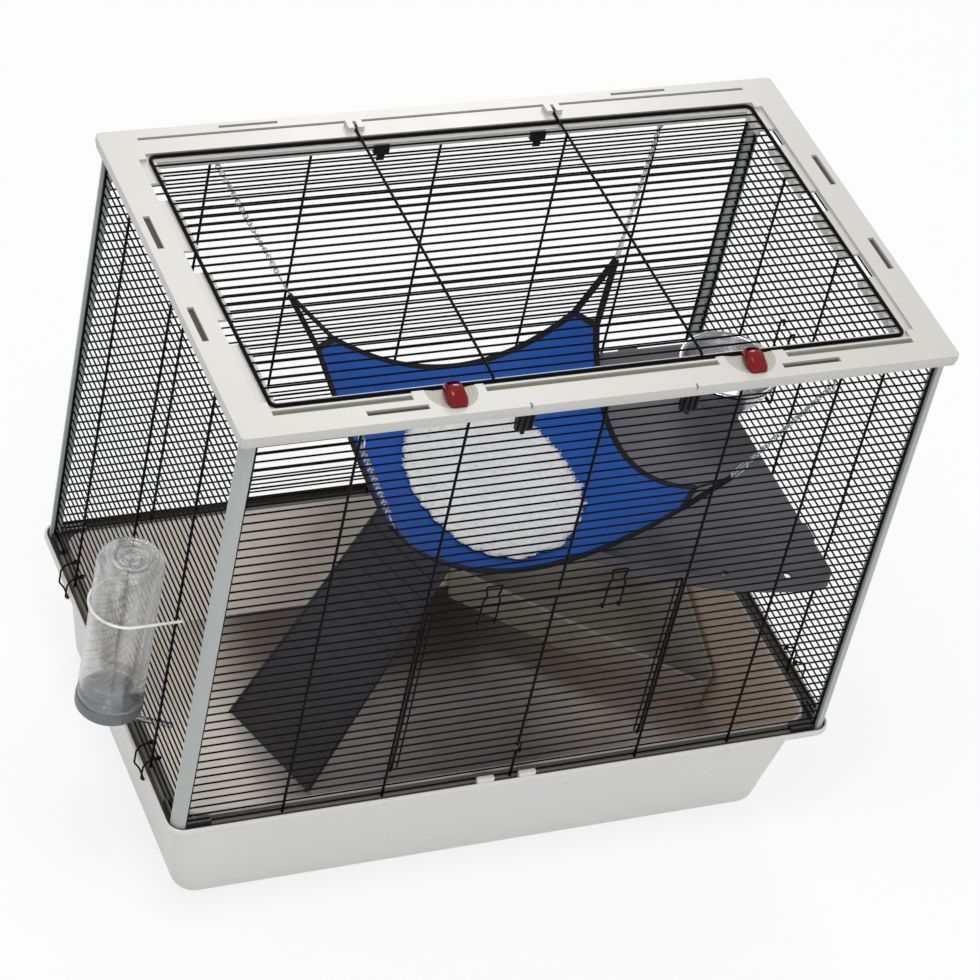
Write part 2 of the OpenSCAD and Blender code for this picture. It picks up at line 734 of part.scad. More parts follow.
// ---------------------------------------------------------------- red latches
module roof_latch(sx) color("#a3161a") translate([sx * latch_x, latch_y, latch_z]) difference() {
    intersection() {
        translate([-latch_w / 2, 0, 0]) rotate([90, 0, 90]) linear_extrude(latch_w) polygon([
            [latch_l / 2, 0], [latch_l / 2, latch_h * 0.5], [latch_l * 0.4, latch_h * 0.82],
            [latch_l * 0.22, latch_h], [0, latch_h * 0.97], [-latch_l * 0.26, latch_h * 0.76],
            [-latch_l * 0.44, latch_h * 0.48], [-latch_l / 2, latch_h * 0.3], [-latch_l / 2, 0]]);
        linear_extrude(latch_h) polygon([
            [-latch_w * 0.34, latch_l / 2], [latch_w * 0.34, latch_l / 2], [latch_w / 2, latch_l * 0.36],
            [latch_w / 2, -latch_l * 0.34], [latch_w * 0.36, -latch_l / 2], [-latch_w * 0.36, -latch_l / 2],
            [-latch_w / 2, -latch_l * 0.34], [-latch_w / 2, latch_l * 0.36]]);
    }
    translate([0, 0, -cut]) cylinder(h = latch_pin_top + clear + cut, r = latch_pin_d / 2 + pin_clear);
    // thumb hollow behind the crown
    block([-latch_w * 0.26, latch_l * 0.18, latch_h - 2.5], [latch_w * 0.26, latch_l * 0.38, latch_h + cut]);
}

module roof_latch_left() roof_latch(-1);
module roof_latch_right() roof_latch(1);

// Pin that a latch turns on, with its head under the frame's plate
module roof_latch_pin(sx) color("#8f9092") translate([sx * latch_x, latch_y, 0]) {
    translate([0, 0, frame_under - clear - 2]) cylinder(h = 2, r = latch_pin_d);
    translate([0, 0, frame_under - clear - 0.5])
        cylinder(h = latch_z + latch_pin_top - frame_under + clear + 0.5, r = latch_pin_d / 2);
}

module roof_latch_pin_left() roof_latch_pin(-1);
module roof_latch_pin_right() roof_latch_pin(1);

// ---------------------------------------------------------------- panel clips
// Clip inside the skirt that hooks over a bar of the front panel
module panel_clip_front(sx) color("#242426") translate([sx * clip_x, -panel_y, 0]) {
    face = bar_r + clear;
    z = bar_z(front_clip_bar);
    depth = panel_in - skirt_t - step_in - clear;
    block([-front_clip_w / 2, -depth, z - front_clip_drop], [front_clip_w / 2, -face, panel_top]);
    block([-front_clip_w / 2 + 2, -face - cut, z + face], [front_clip_w / 2 - 2, face + 2, z + face + 4]);
    block([-front_clip_w / 2 + 2, face, z - 3], [front_clip_w / 2 - 2, face + 2, z + face + 4]);
}

module panel_clip_front_left() panel_clip_front(-1);
module panel_clip_front_right() panel_clip_front(1);

// U-shaped clip on the inner flange of the back bar, with a tab below
module panel_clip_back(sx) color("#242426") translate([sx * clip_x, open_back, cage_h - frame_h]) {
    half = back_clip_w / 2;
    block([-half, -clear - back_clip_t, -clear - back_clip_t], [half, -clear, frame_h - plate_t - 2]);
    block([-half, -clear - back_clip_t, -clear - back_clip_t],
        [half, flange_t + clear + back_clip_t, -clear]);
    block([-half, flange_t + clear, -clear - back_clip_t], [half, flange_t + clear + back_clip_t,
        frame_h - rebate_d - ledge_t - 1]);
    block([-half / 2, -clear - back_clip_t, -12], [half / 2, -clear - 1, -clear - 1]);
}

module panel_clip_back_left() panel_clip_back(-1);
module panel_clip_back_right() panel_clip_back(1);

// ---------------------------------------------------------------- tray catches
// Bail on a side panel bar that hooks under the tray's lip, drawn for the left side
module tray_catch(sx, sy) color("#1c1c1e") mirror([sx > 0 ? 1 : 0, 0, 0])
    translate([-panel_x, sy * upright_side, bar_z(catch_bar)]) {
    out = -panel_in - catch_out;
    low = gutter_z - rim_t - bar_z(catch_bar) - catch_drop;
    tuck = -panel_in + catch_tuck;
    for (s = [-1, 1]) {
        translate([0, s * catch_half, 0]) rotate([0, 0, 90]) eye_x();
        bent_wire([[-eye_bore - catch_r, s * catch_half, 0], [out * 0.7, s * catch_half, -3],
            [out, s * catch_half, -10], [out, s * catch_half, low + 3],
            [tuck, s * (catch_half - 3), low]], catch_r);
    }
    rod([tuck, -catch_half + 3 - catch_r, low], [tuck, catch_half - 3 + catch_r, low], catch_r);
}

module tray_catch_left_front() tray_catch(-1, -1);
module tray_catch_left_back() tray_catch(-1, 1);
module tray_catch_right_front() tray_catch(1, -1);
module tray_catch_right_back() tray_catch(1, 1);

// ---------------------------------------------------------------- shelf
// Plan of the shelf from the cage's back right corner, drawn in by a margin
module shelf_plan(margin) {
    r = shelf_r - margin;
    corner_x = -margin - shelf_corner;
    corner_y = -sqrt(pow(r - shelf_corner, 2) - pow(corner_x, 2));
    difference() {
        intersection() {
            circle(r = r, $fn = 180);
            translate([-r, -r]) square(r - margin);
        }
        difference() {
            translate([corner_x, corner_y - 2 * shelf_corner]) square(2 * shelf_corner);
            translate([corner_x, corner_y]) circle(r = shelf_corner);
        }
    }
}

// Hollow under the shelf's plate, round the corner post
module shelf_inside() {
    difference() {
        shelf_plan(shelf_t);
        translate([-shelf_notch - 2 * shelf_t, -shelf_notch - 2 * shelf_t]) square(shelf_notch + 2 * shelf_t);
    }
}

// Hook over a wall bar, for the wall on the +X side
module shelf_hook(y, z) {
    reach = shelf_x + 2 * bar_r + 2 * clear;
    block([shelf_x - cut, y - shelf_hook_l / 2, z + bar_r + clear],
        [reach + shelf_hook_t, y + shelf_hook_l / 2, z + bar_r + clear + shelf_hook_t]);
    block([reach, y - shelf_hook_l / 2, z - 4], [reach + shelf_hook_t, y + shelf_hook_l / 2, z + bar_r + clear + 1]);
}

module shelf() color("#56555a") {
    difference() {
        translate([shelf_x, shelf_y, shelf_z - skirt_h]) linear_extrude(skirt_h) shelf_plan(0);
        translate([shelf_x, shelf_y, shelf_z - skirt_h - cut]) linear_extrude(skirt_h - shelf_t + cut)
            shelf_inside();
        block([post_x - clear - 1, post_y - clear - 1, shelf_z - skirt_h - cut],
            [shelf_x + cut, shelf_y + cut, shelf_z + cut]);
        for (a = shelf_hole_turn)
            translate([shelf_x, shelf_y, shelf_z - shelf_t - cut]) rotate([0, 0, -a])
                translate([0, shelf_hole_in - shelf_r, 0]) cylinder(h = shelf_t + 2 * cut, r = shelf_hole_r);
    }
    for (y = shelf_hook_y) shelf_hook(y, bar_z(hook_bar));
    translate([shelf_x, shelf_y, 0]) mirror([1, -1, 0]) translate([-shelf_x, 0, 0])
        for (x = shelf_hook_x) shelf_hook(x - shelf_x, bar_z(hook_bar));
}

// ---------------------------------------------------------------- ladder
// Prism as wide as the ladder at each height, drawn in by a margin
module ladder_taper(margin) {
    low = -margin;
    high = tongue_z + tongue_t + cut + margin;
    translate([-2 * ladder_run - margin, 0, 0]) rotate([90, 0, 90])
        linear_extrude(3 * ladder_run + 2 * margin) polygon([
            [margin - ladder_half(low), low], [ladder_half(low) - margin, low],
            [ladder_half(high) - margin, high], [margin - ladder_half(high), high]]);
}

module ladder() color("#4c4b50") translate([ladder_edge[0], ladder_edge[1], 0])
    rotate([0, 0, ladder_turn]) {
    sheet = [[ladder_x(ladder_z0, 0), ladder_z0], [ladder_x(ladder_z0, ladder_t), ladder_z0],
        [ladder_x(tongue_z + tongue_t, ladder_t), tongue_z + tongue_t], [tongue_l, tongue_z + tongue_t],
        [tongue_l, tongue_z], [-ladder_gap, tongue_z]];
    rail_top = tongue_z - 4;
    rail = [[ladder_x(ladder_z0, 1), ladder_z0], [ladder_x(ladder_z0, ladder_t + rail_h), ladder_z0],
        [ladder_x(rail_top, ladder_t + rail_h), rail_top], [ladder_x(rail_top, 1), rail_top]];
    length = norm([ladder_run, tongue_z - ladder_z0]);
    intersection() {
        translate([0, ladder_w / 2, 0]) rotate([90, 0, 0]) linear_extrude(ladder_w) polygon(sheet);
        ladder_taper(0);
    }
    intersection() {
        translate([0, ladder_w / 2, 0]) rotate([90, 0, 0]) linear_extrude(ladder_w) polygon(rail);
        difference() {
            ladder_taper(0);
            ladder_taper(rail_w);
        }
    }
    intersection() {
        translate([ladder_x(ladder_z0, 0), 0, ladder_z0]) rotate([0, -ladder_slope, 0])
            for (i = [1:floor(length / rib_pitch) - 1])
                block([i * rib_pitch - rib_w / 2, -ladder_w / 2, ladder_t - weld],
                    [i * rib_pitch + rib_w / 2, ladder_w / 2, ladder_t + rib_h]);
        ladder_taper(rail_w - weld);
    }
}

// ---------------------------------------------------------------- litter pan
// Three-cornered outline from the pan's back corner
module pan_outline(lean) {
    hull() {
        translate([-pan_corner_r, -pan_corner_r]) circle(r = pan_corner_r - lean, $fn = 32);
        translate([-pan_back_leg + pan_front_r, -pan_front_r]) circle(r = pan_front_r - lean, $fn = 32);
        translate([-pan_front_r, -pan_side_leg + pan_front_r]) circle(r = pan_front_r - lean, $fn = 32);
    }
}

module pan_solid(lean, z0, z1) {
    hull() {
        translate([0, 0, z0]) linear_extrude(0.1) pan_outline(lean + pan_lean);
        translate([0, 0, z1 - 0.1]) linear_extrude(0.1) pan_outline(lean);
    }
}

module litter_pan() color("#8f887e") translate([pan_x + pan_lean, pan_y + pan_lean, floor_t + clear])
    difference() {
        pan_solid(0, 0, pan_h);
        pan_solid(pan_t, pan_t, pan_h + 0.2);
        rotate([0, 0, pan_turn]) {
            // the walls fall away from the back corner to the front wall
            translate([-pan_reach, 0, pan_lip_h]) rotate([0, -pan_rise, 0])
                translate([-pan_reach / 2, -pan_side_leg, 0]) cube([2 * pan_reach, 2 * pan_side_leg, pan_h]);
            // low place in the front wall
            translate([-pan_reach - cut, 0, pan_scoop_h + pan_scoop_r]) rotate([0, 90, 0])
                cylinder(h = pan_scoop_l, r = pan_scoop_r);
        }
    }

// ---------------------------------------------------------------- food bowl
module food_bowl() color("#c9cacc") translate([bowl_x, bowl_y, bowl_rim_z]) rotate_extrude()
    polygon([[0, -bowl_h], [bowl_foot_r, -bowl_h], [bowl_r - 4, -bowl_h * 0.6], [bowl_r + bowl_t, 0],
        [bowl_r + bowl_lip, 0], [bowl_r + bowl_lip, bowl_t], [bowl_r, bowl_t],
        [bowl_r - 4 - bowl_t, -bowl_h * 0.6], [bowl_foot_r - bowl_t, -bowl_h + bowl_t], [0, -bowl_h + bowl_t]]);

module bowl_ring() color("#1c1c1e") translate([bowl_x, bowl_y, ring_z]) {
    wall = bowl_out - bar_r - clear - arm_r;
    over = ring_drop + bar_r + clear + arm_r;
    beyond = bowl_out + bar_r + clear + arm_r;
    ring_meet = sqrt(bowl_ring_r * bowl_ring_r - arm_y * arm_y);
    rotate_extrude() translate([bowl_ring_r, 0]) circle(r = ring_wire, $fn = 24);
    for (s = [-1, 1]) {
        rod([ring_meet, s * arm_y, 0], [wall, s * arm_y, 0], arm_r);
        bent_wire([[wall, s * arm_y, -brace_drop], [wall, s * arm_y, over], [beyond, s * arm_y, over],
            [beyond, s * arm_y, over - 8]], arm_r);
    }
    rod([wall, -arm_y - arm_r, -brace_drop], [wall, arm_y + arm_r, -brace_drop], arm_r);
}

// ---------------------------------------------------------------- water bottle
module bottle_body() color("#dfe6ea") translate([bottle_x, -bottle_y, cap_z + cap_h]) {
    neck = bottle_r - neck_in;
    neck_z = -(cap_h - cap_floor - seal_t - 2 * clear);
    top = bottle_h;
    shoulder = top - dome_h;
    w = bottle_wall;
    rotate_extrude() polygon([[neck - w, neck_z], [neck, neck_z], [neck, clear], [bottle_r, clear],
        [bottle_r, shoulder], [bottle_r - 3, shoulder + dome_h * 0.55], [bottle_r - 9, top],
        [bottle_r - 15, top], [bottle_r - 19, top - 4], [0, top - 5],
        [0, top - 5 - w], [bottle_r - 18, top - 4 - w], [bottle_r - 15, top - w],
        [bottle_r - 9, top - w - 0.5], [bottle_r - 3 - w, shoulder + dome_h * 0.5], [bottle_r - w, shoulder],
        [bottle_r - w, clear + w], [neck - w, clear + w]]);
}

module bottle_cap() color("#c9cccd") translate([bottle_x, -bottle_y, cap_z]) difference() {
    union() {
        cylinder(h = cap_h, r = bottle_r + cap_over);
        translate([0, 0, -hub_h]) cylinder(h = hub_h + cut, r = hub_r);
    }
    translate([0, 0, cap_floor]) cylinder(h = cap_h, r = bottle_r - neck_in + clear);
    translate([0, 0, -hub_h - cut]) cylinder(h = hub_h + cap_floor + 2 * cut, r = spout_r + pin_clear);
}

module bottle_seal() color("#6d6f72") translate([bottle_x, -bottle_y, cap_z + cap_floor + clear / 2])
    difference() {
        cylinder(h = seal_t, r = bottle_r - neck_in);
        translate([0, 0, -cut]) cylinder(h = seal_t + 2 * cut, r = bottle_r - neck_in - seal_w);
    }

spout_len = (bottle_out + spout_reach) / cos(spout_tilt);
ball_at = spout_len - ball_lip - sqrt(pow(ball_r, 2) - pow(ball_r - 0.4, 2)) - 0.35;

module along_spout() translate([bottle_x, -bottle_y, spout_z]) rotate([0, 90 + spout_tilt, 0]) children();

module bottle_spout() color("#c4c6c9") difference() {
    union() {
        along_spout() cylinder(h = spout_len, r = spout_r);
        translate([bottle_x, -bottle_y, spout_z]) sphere(r = spout_r + weld);
        translate([bottle_x, -bottle_y, spout_z]) cylinder(h = cap_z + cap_floor - spout_z, r = spout_r);
    }
    translate([bottle_x, -bottle_y, spout_z]) sphere(r = spout_r - spout_wall + 0.2);
    along_spout() cylinder(h = spout_len - ball_lip, r = spout_r - spout_wall);
    along_spout() cylinder(h = spout_len + cut, r = ball_r - 0.4);
    translate([bottle_x, -bottle_y, spout_z]) cylinder(h = cap_z, r = spout_r - spout_wall);
}

module spout_ball() color("#d8dadc") along_spout() translate([0, 0, ball_at]) sphere(r = ball_r);

module bottle_hoop() color("#e9ebea") translate([bottle_x, -bottle_y, hoop_z]) {
    inside = bottle_out + bar_r + clear + ring_wire;
    difference() {
        rotate_extrude() translate([hoop_r, 0]) circle(r = ring_wire, $fn = 24);
        block([0, -hoop_r - 5, -5], [hoop_r + 5, hoop_r + 5, 5]);
    }
    for (s = [-1, 1])
        bent_wire([[-0.5, s * hoop_r, 0], [inside, s * hoop_r, 0], [inside, s * hoop_r, -9]], ring_wire);
}

// ---------------------------------------------------------------- hammock
// Quadratic weights of the three rows or columns
function weight(t) = [t * (t - 1) / 2, 1 - t * t, t * (t + 1) / 2];
function on_cloth(u, v, lift) = let (a = weight(u), b = weight(v))
    a[0] * b[0] * hammock[0][0] + a[1] * b[0] * hammock[0][1] + a[2] * b[0] * hammock[0][2]
    + a[0] * b[1] * hammock[1][0] + a[1] * b[1] * hammock[1][1] + a[2] * b[1] * hammock[1][2]
    + a[0] * b[2] * hammock[2][0] + a[1] * b[2] * hammock[2][1] + a[2] * b[2] * hammock[2][2]
    + [0, 0, lift];

module hammock_cloth() color("#1f4fa8") {
    n = cloth_steps;
    m = n + 1;
    under = m * m;
    // each corner is drawn in, so that the cloth ends in a slanting edge between its straps
    points = [for (lift = [0, -cloth_t], j = [0:n], i = [0:n])
        let (share = i % n == 0 && j % n == 0 ? 1 - corner_cut / n : 1)
        on_cloth(share * (2 * i / n - 1), share * (2 * j / n - 1), lift)];
    tops = [for (j = [0:n - 1], i = [0:n - 1]) let (k = j * m + i) [[k, k + m, k + m + 1], [k, k + m + 1, k + 1]]];
    edge = concat([for (i = [0:n - 1]) i], [for (j = [0:n - 1]) j * m + n],
        [for (i = [n:-1:1]) n * m + i], [for (j = [n:-1:1]) j * m]);
    faces = concat([for (t = tops) t[0]], [for (t = tops) t[1]],
        [for (t = tops) [under, under, under] + [t[0][0], t[0][2], t[0][1]]],
        [for (t = tops) [under, under, under] + [t[1][0], t[1][2], t[1][1]]],
        [for (i = [0:len(edge) - 1]) let (a = edge[i], b = edge[(i + 1) % len(edge)]) [a, b, b + under]],
        [for (i = [0:len(edge) - 1]) let (a = edge[i], b = edge[(i + 1) % len(edge)]) [a, b + under, a + under]]);
    polyhedron(points = points, faces = faces, convexity = 6);
}

// Point of the fleece pad, r from its centre to its edge
function spot(r, a, lift) =
    on_cloth(r * fleece_wide * cos(a), fleece_mid + r * fleece_long * sin(a), lift);

module hammock_fleece() color("#eeeeec") {
    s = fleece_sides;
    rings = fleece_rings;
    layer = 1 + rings * s;
    under = clear + 0.4;
    points = [for (lift = [under + fleece_t, under]) each concat([spot(0, 0, lift)],
        [for (r = [1:rings], a = [0:s - 1]) spot(r / rings, a * 360 / s, lift)])];
    fan = [for (a = [0:s - 1]) [0, 1 + (a + 1) % s, 1 + a]];
    bands = [for (r = [0:rings - 2], a = [0:s - 1]) let (p = 1 + r * s + a, q = 1 + r * s + (a + 1) % s)
        [[p, q, q + s], [p, q + s, p + s]]];
    tops = concat(fan, [for (b = bands) b[0]], [for (b = bands) b[1]]);
    rim = 1 + (rings - 1) * s;
    faces = concat(tops, [for (t = tops) [t[0] + layer, t[2] + layer, t[1] + layer]],
        [for (a = [0:s - 1]) let (p = rim + a, q = rim + (a + 1) % s) [p, q, q + layer]],
        [for (a = [0:s - 1]) let (p = rim + a, q = rim + (a + 1) % s) [p, q + layer, p + layer]]);
    polyhedron(points = points, faces = faces, convexity = 4);
}

// Two straps at each corner run from the cloth's edges to the point where the chain hooks on
module hammock_straps() color("#161616") for (i = [0, 1], j = [0, 1]) {
    u = 2 * i - 1;
    v = 2 * j - 1;
    tip = apex[j][i];
    for (start = [on_cloth(u, v * strap_share, -cloth_t / 2), on_cloth(u * strap_share, v, -cloth_t / 2)])
        rod(start + unit(tip - start) * strap_start, tip, strap_r);
    translate(tip) sphere(r = strap_r + weld);
}

// Ring that hangs on a wall bar and carries a chain
function ring_centre(sx, sy) = [sx * (upright_outer - ring_side), sy * (panel_y - ring_hang_y),
    bar_z(bars - chain_down) - ring_hang_z];

module hammock_ring(sx, sy) color("#b8babd") translate(ring_centre(sx, sy)) rotate([0, 90, 0])
    rotate_extrude() translate([ring_r, 0]) circle(r = ring_wire_r, $fn = 24);

module hammock_chain(sx, sy) color("#b8babd") {
    centre = ring_centre(sx, sy);
    tip = apex[(sy + 1) / 2][(sx + 1) / 2];
    foot = centre + ring_r * unit([0, tip[1] - centre[1], tip[2] - centre[2]]);
    down = unit(tip - foot);
    start = foot + down * (ring_wire_r + clear);
    finish = tip - down * (strap_r + weld + clear);
    rod(start, finish, chain_d / 2);
}

module hammock_chain_front_left() hammock_chain(-1, -1);
module hammock_chain_front_right() hammock_chain(1, -1);
module hammock_chain_back_left() hammock_chain(-1, 1);
module hammock_chain_back_right() hammock_chain(1, 1);
module hammock_ring_front_left() hammock_ring(-1, -1);
module hammock_ring_front_right() hammock_ring(1, -1);
module hammock_ring_back_left() hammock_ring(-1, 1);
module hammock_ring_back_right() hammock_ring(1, 1);

base_tray();
post_front_left();
post_front_right();
post_back_left();
post_back_right();
top_frame();
wire_panel_front();
wire_panel_back();
wire_panel_left();
wire_panel_right();
front_door();
front_door_latch_left();
front_door_latch_right();
roof_door();
roof_hinge_clip_left();
roof_hinge_clip_right();
roof_latch_left();
roof_latch_right();
roof_latch_pin_left();
roof_latch_pin_right();
panel_clip_front_left();
panel_clip_front_right();
panel_clip_back_left();
panel_clip_back_right();
tray_catch_left_front();
tray_catch_left_back();
tray_catch_right_front();
tray_catch_right_back();
shelf();
ladder();
litter_pan();
food_bowl();
bowl_ring();
bottle_body();
bottle_cap();
bottle_seal();
bottle_spout();
spout_ball();
bottle_hoop();
hammock_cloth();
hammock_fleece();
hammock_straps();
hammock_chain_front_left();
hammock_chain_front_right();
hammock_chain_back_left();
hammock_chain_back_right();
hammock_ring_front_left();
hammock_ring_front_right();
hammock_ring_back_left();
hammock_ring_back_right();
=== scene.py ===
# %% [markdown]
# # Ferret cage: a wire cage on a deep plastic tray
# The CAD model gives every piece its place and its size. This scene dresses that model: it gives
# the wires round sections and bent corners, the plastic its rounded edges and grain, and it makes
# the hammock from cloth, binding, webbing and chain. The CAD source is in millimetres and Blender
# works in metres, so every new piece is worked out in millimetres and scaled as it is finished.

import json
import math
import random

import bmesh
import bpy
from mathutils import Matrix, Vector

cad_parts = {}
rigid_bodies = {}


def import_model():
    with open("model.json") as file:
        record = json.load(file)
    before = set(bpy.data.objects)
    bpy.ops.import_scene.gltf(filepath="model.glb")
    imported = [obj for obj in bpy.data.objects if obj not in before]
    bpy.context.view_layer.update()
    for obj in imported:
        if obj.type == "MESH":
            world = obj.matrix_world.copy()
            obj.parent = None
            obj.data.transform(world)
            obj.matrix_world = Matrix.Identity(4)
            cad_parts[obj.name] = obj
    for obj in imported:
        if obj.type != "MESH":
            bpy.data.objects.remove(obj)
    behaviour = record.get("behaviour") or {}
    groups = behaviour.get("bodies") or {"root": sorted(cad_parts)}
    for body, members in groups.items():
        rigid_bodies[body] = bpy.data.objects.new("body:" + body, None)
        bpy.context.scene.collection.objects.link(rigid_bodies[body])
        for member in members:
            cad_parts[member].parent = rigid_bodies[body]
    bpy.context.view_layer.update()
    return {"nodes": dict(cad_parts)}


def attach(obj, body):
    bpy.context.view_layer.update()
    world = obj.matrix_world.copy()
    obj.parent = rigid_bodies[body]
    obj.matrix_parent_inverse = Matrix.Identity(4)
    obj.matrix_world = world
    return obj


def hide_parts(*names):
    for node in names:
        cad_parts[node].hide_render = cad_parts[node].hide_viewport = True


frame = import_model()

# %% [markdown]
# The camera stands where the photograph was taken from: to the left of the cage, in front of it
# and well above it, with a long lens, and tilted a little to one side. It was found by matching
# the cage's own corners, and its three axes are written here as rows: right, down and forward.

# %% Camera
RIGHT = Vector((0.91625, -0.35823, 0.17930))
DOWN = Vector((-0.11541, -0.66466, -0.73818))
AHEAD = Vector((0.38361, 0.65567, -0.65034))
CAMERA_PLACE = Vector((-1.53686, -2.67153, 3.00483))
camera_data = bpy.data.cameras.new("camera")
camera_data.lens = 137.8
camera_data.sensor_width = 36.0
camera_data.clip_end = 50.0
camera = bpy.data.objects.new("camera", camera_data)
axes = Matrix((RIGHT, -DOWN, -AHEAD)).transposed().to_4x4()
camera.matrix_world = Matrix.Translation(CAMERA_PLACE) @ axes
bpy.context.scene.collection.objects.link(camera)
bpy.context.scene.camera = camera
bpy.context.scene.view_settings.view_transform = "Standard"
print("camera height:", round(camera.location.z, 3))

# %% [markdown]
# Shading effects that several finishes share are node groups. Each takes its scale and strength
# as inputs, so one group serves smooth plastic, coated wire and cloth alike. All but the weave
# read Object coordinates: every piece sits at the origin, so a millimetre of grain is a
# millimetre on every piece. Two helpers keep the trees short: one starts a group with its
# sockets, the other adds a node and either links its inputs or sets their values.

# %% Helpers for shader trees
def node_group(name, inputs, outputs):
    group = bpy.data.node_groups.new(name, "ShaderNodeTree")
    for label, kind, value in inputs:
        socket = group.interface.new_socket(name=label, in_out="INPUT", socket_type=kind)
        socket.default_value = value
    for label, kind in outputs:
        group.interface.new_socket(name=label, in_out="OUTPUT", socket_type=kind)
    return group, group.nodes.new("NodeGroupInput"), group.nodes.new("NodeGroupOutput")


def node(tree, kind, links=None, **settings):
    added = tree.nodes.new(kind)
    for key, value in settings.items():
        setattr(added, key, value)
    for socket, source in (links or {}).items():
        if hasattr(source, "is_linked"):
            tree.links.new(source, added.inputs[socket])
        else:
            added.inputs[socket].default_value = source
    return added


print("shader helpers ready")

# %% [markdown]
# Moulded plastic and paint are never one flat colour. Slow, weak patches of lighter and darker
# tone are enough: the eye reads them as thickness, handling and light, not as a pattern.

# %% Group: slow changes of tone
tone_group, takes, gives = node_group("tone",
    [("Color", "NodeSocketColor", (0.8, 0.8, 0.8, 1.0)), ("Scale", "NodeSocketFloat", 8.0),
    ("Amount", "NodeSocketFloat", 0.06)], [("Color", "NodeSocketColor")])
place = node(tone_group, "ShaderNodeTexCoord")
patches = node(tone_group, "ShaderNodeTexNoise", {"Vector": place.outputs["Object"],
    "Scale": takes.outputs["Scale"], "Detail": 3.0, "Roughness": 0.55})
low = node(tone_group, "ShaderNodeMath", {0: 1.0, 1: takes.outputs["Amount"]}, operation="SUBTRACT")
high = node(tone_group, "ShaderNodeMath", {0: 1.0, 1: takes.outputs["Amount"]}, operation="ADD")
level = node(tone_group, "ShaderNodeMapRange", {"Value": patches.outputs["Fac"], "From Min": 0.3,
    "From Max": 0.7, "To Min": low.outputs[0], "To Max": high.outputs[0]})
toned = node(tone_group, "ShaderNodeHueSaturation",
    {"Color": takes.outputs["Color"], "Value": level.outputs["Result"]})
tone_group.links.new(toned.outputs["Color"], gives.inputs["Color"])
print("group:", tone_group.name)

# %% [markdown]
# Roughness changes too. Handled plastic has faint smears and rubbed places that catch the light,
# so the roughness wanders between two values with a noise that has coarse and fine parts.

# %% Group: rubbed and matt places
rub_group, takes, gives = node_group("rub",
    [("Low", "NodeSocketFloat", 0.3), ("High", "NodeSocketFloat", 0.45),
    ("Scale", "NodeSocketFloat", 30.0)], [("Roughness", "NodeSocketFloat")])
place = node(rub_group, "ShaderNodeTexCoord")
smears = node(rub_group, "ShaderNodeTexNoise", {"Vector": place.outputs["Object"],
    "Scale": takes.outputs["Scale"], "Detail": 5.0, "Roughness": 0.65})
rubbed = node(rub_group, "ShaderNodeMapRange", {"Value": smears.outputs["Fac"], "From Min": 0.35,
    "From Max": 0.65, "To Min": takes.outputs["Low"], "To Max": takes.outputs["High"]})
rub_group.links.new(rubbed.outputs["Result"], gives.inputs["Roughness"])
print("group:", rub_group.name)

# %% [markdown]
# A mould is spark-eroded, so the plastic has a fine pebble grain, and it shrinks unevenly as it
# cools, so large faces have long shallow waves. Both are heights, and a Bump node in the
# material turns them into normals.

# %% Group: mould grain and shrinkage waves
grain_group, takes, gives = node_group("grain",
    [("Grain", "NodeSocketFloat", 1500.0), ("Waves", "NodeSocketFloat", 12.0),
    ("Wave Share", "NodeSocketFloat", 0.6)], [("Height", "NodeSocketFloat")])
place = node(grain_group, "ShaderNodeTexCoord")
pebbles = node(grain_group, "ShaderNodeTexNoise",
    {"Vector": place.outputs["Object"], "Scale": takes.outputs["Grain"], "Detail": 2.0})
swell = node(grain_group, "ShaderNodeTexNoise",
    {"Vector": place.outputs["Object"], "Scale": takes.outputs["Waves"], "Detail": 1.0})
share = node(grain_group, "ShaderNodeMath",
    {0: swell.outputs["Fac"], 1: takes.outputs["Wave Share"]}, operation="MULTIPLY")
height = node(grain_group, "ShaderNodeMath",
    {0: pebbles.outputs["Fac"], 1: share.outputs[0]}, operation="ADD")
grain_group.links.new(height.outputs[0], gives.inputs["Height"])
print("group:", grain_group.name)

# %% [markdown]
# Woven cloth is two sets of threads that pass over and under each other. Two sine waves at right
# angles, multiplied, give that chequer of raised threads. They run along the piece's own UV map,
# in millimetres, so the weave follows the cloth round its folds. The same chequer comes out as
# Shade, for painted shade on the low threads.

# %% Group: weave
weave_group, takes, gives = node_group("weave", [("Threads", "NodeSocketFloat", 2.0)],
    [("Height", "NodeSocketFloat"), ("Shade", "NodeSocketFloat")])
place = node(weave_group, "ShaderNodeTexCoord")
parts = node(weave_group, "ShaderNodeSeparateXYZ", {0: place.outputs["UV"]})
turns = node(weave_group, "ShaderNodeMath",
    {0: takes.outputs["Threads"], 1: math.pi}, operation="MULTIPLY")
waves = []
for axis in ("X", "Y"):
    angle = node(weave_group, "ShaderNodeMath",
        {0: parts.outputs[axis], 1: turns.outputs[0]}, operation="MULTIPLY")
    waves.append(node(weave_group, "ShaderNodeMath", {0: angle.outputs[0]}, operation="SINE"))
crossed = node(weave_group, "ShaderNodeMath",
    {0: waves[0].outputs[0], 1: waves[1].outputs[0]}, operation="MULTIPLY")
raised = node(weave_group, "ShaderNodeMapRange", {"Value": crossed.outputs[0],
    "From Min": -1.0, "From Max": 1.0, "To Min": 0.0, "To Max": 1.0})
weave_group.links.new(raised.outputs["Result"], gives.inputs["Height"])
weave_group.links.new(raised.outputs["Result"], gives.inputs["Shade"])
print("group:", weave_group.name)

# %% [markdown]
# Most finishes start from the same three steps: a Principled shader, its colour through the tone
# group, and its roughness through the rub group. The functions further down add what differs.

# %% Helpers that start a finish
def use_group(tree, group, values):
    placed = tree.nodes.new("ShaderNodeGroup")
    placed.node_tree = group
    for socket, value in values.items():
        placed.inputs[socket].default_value = value
    return placed


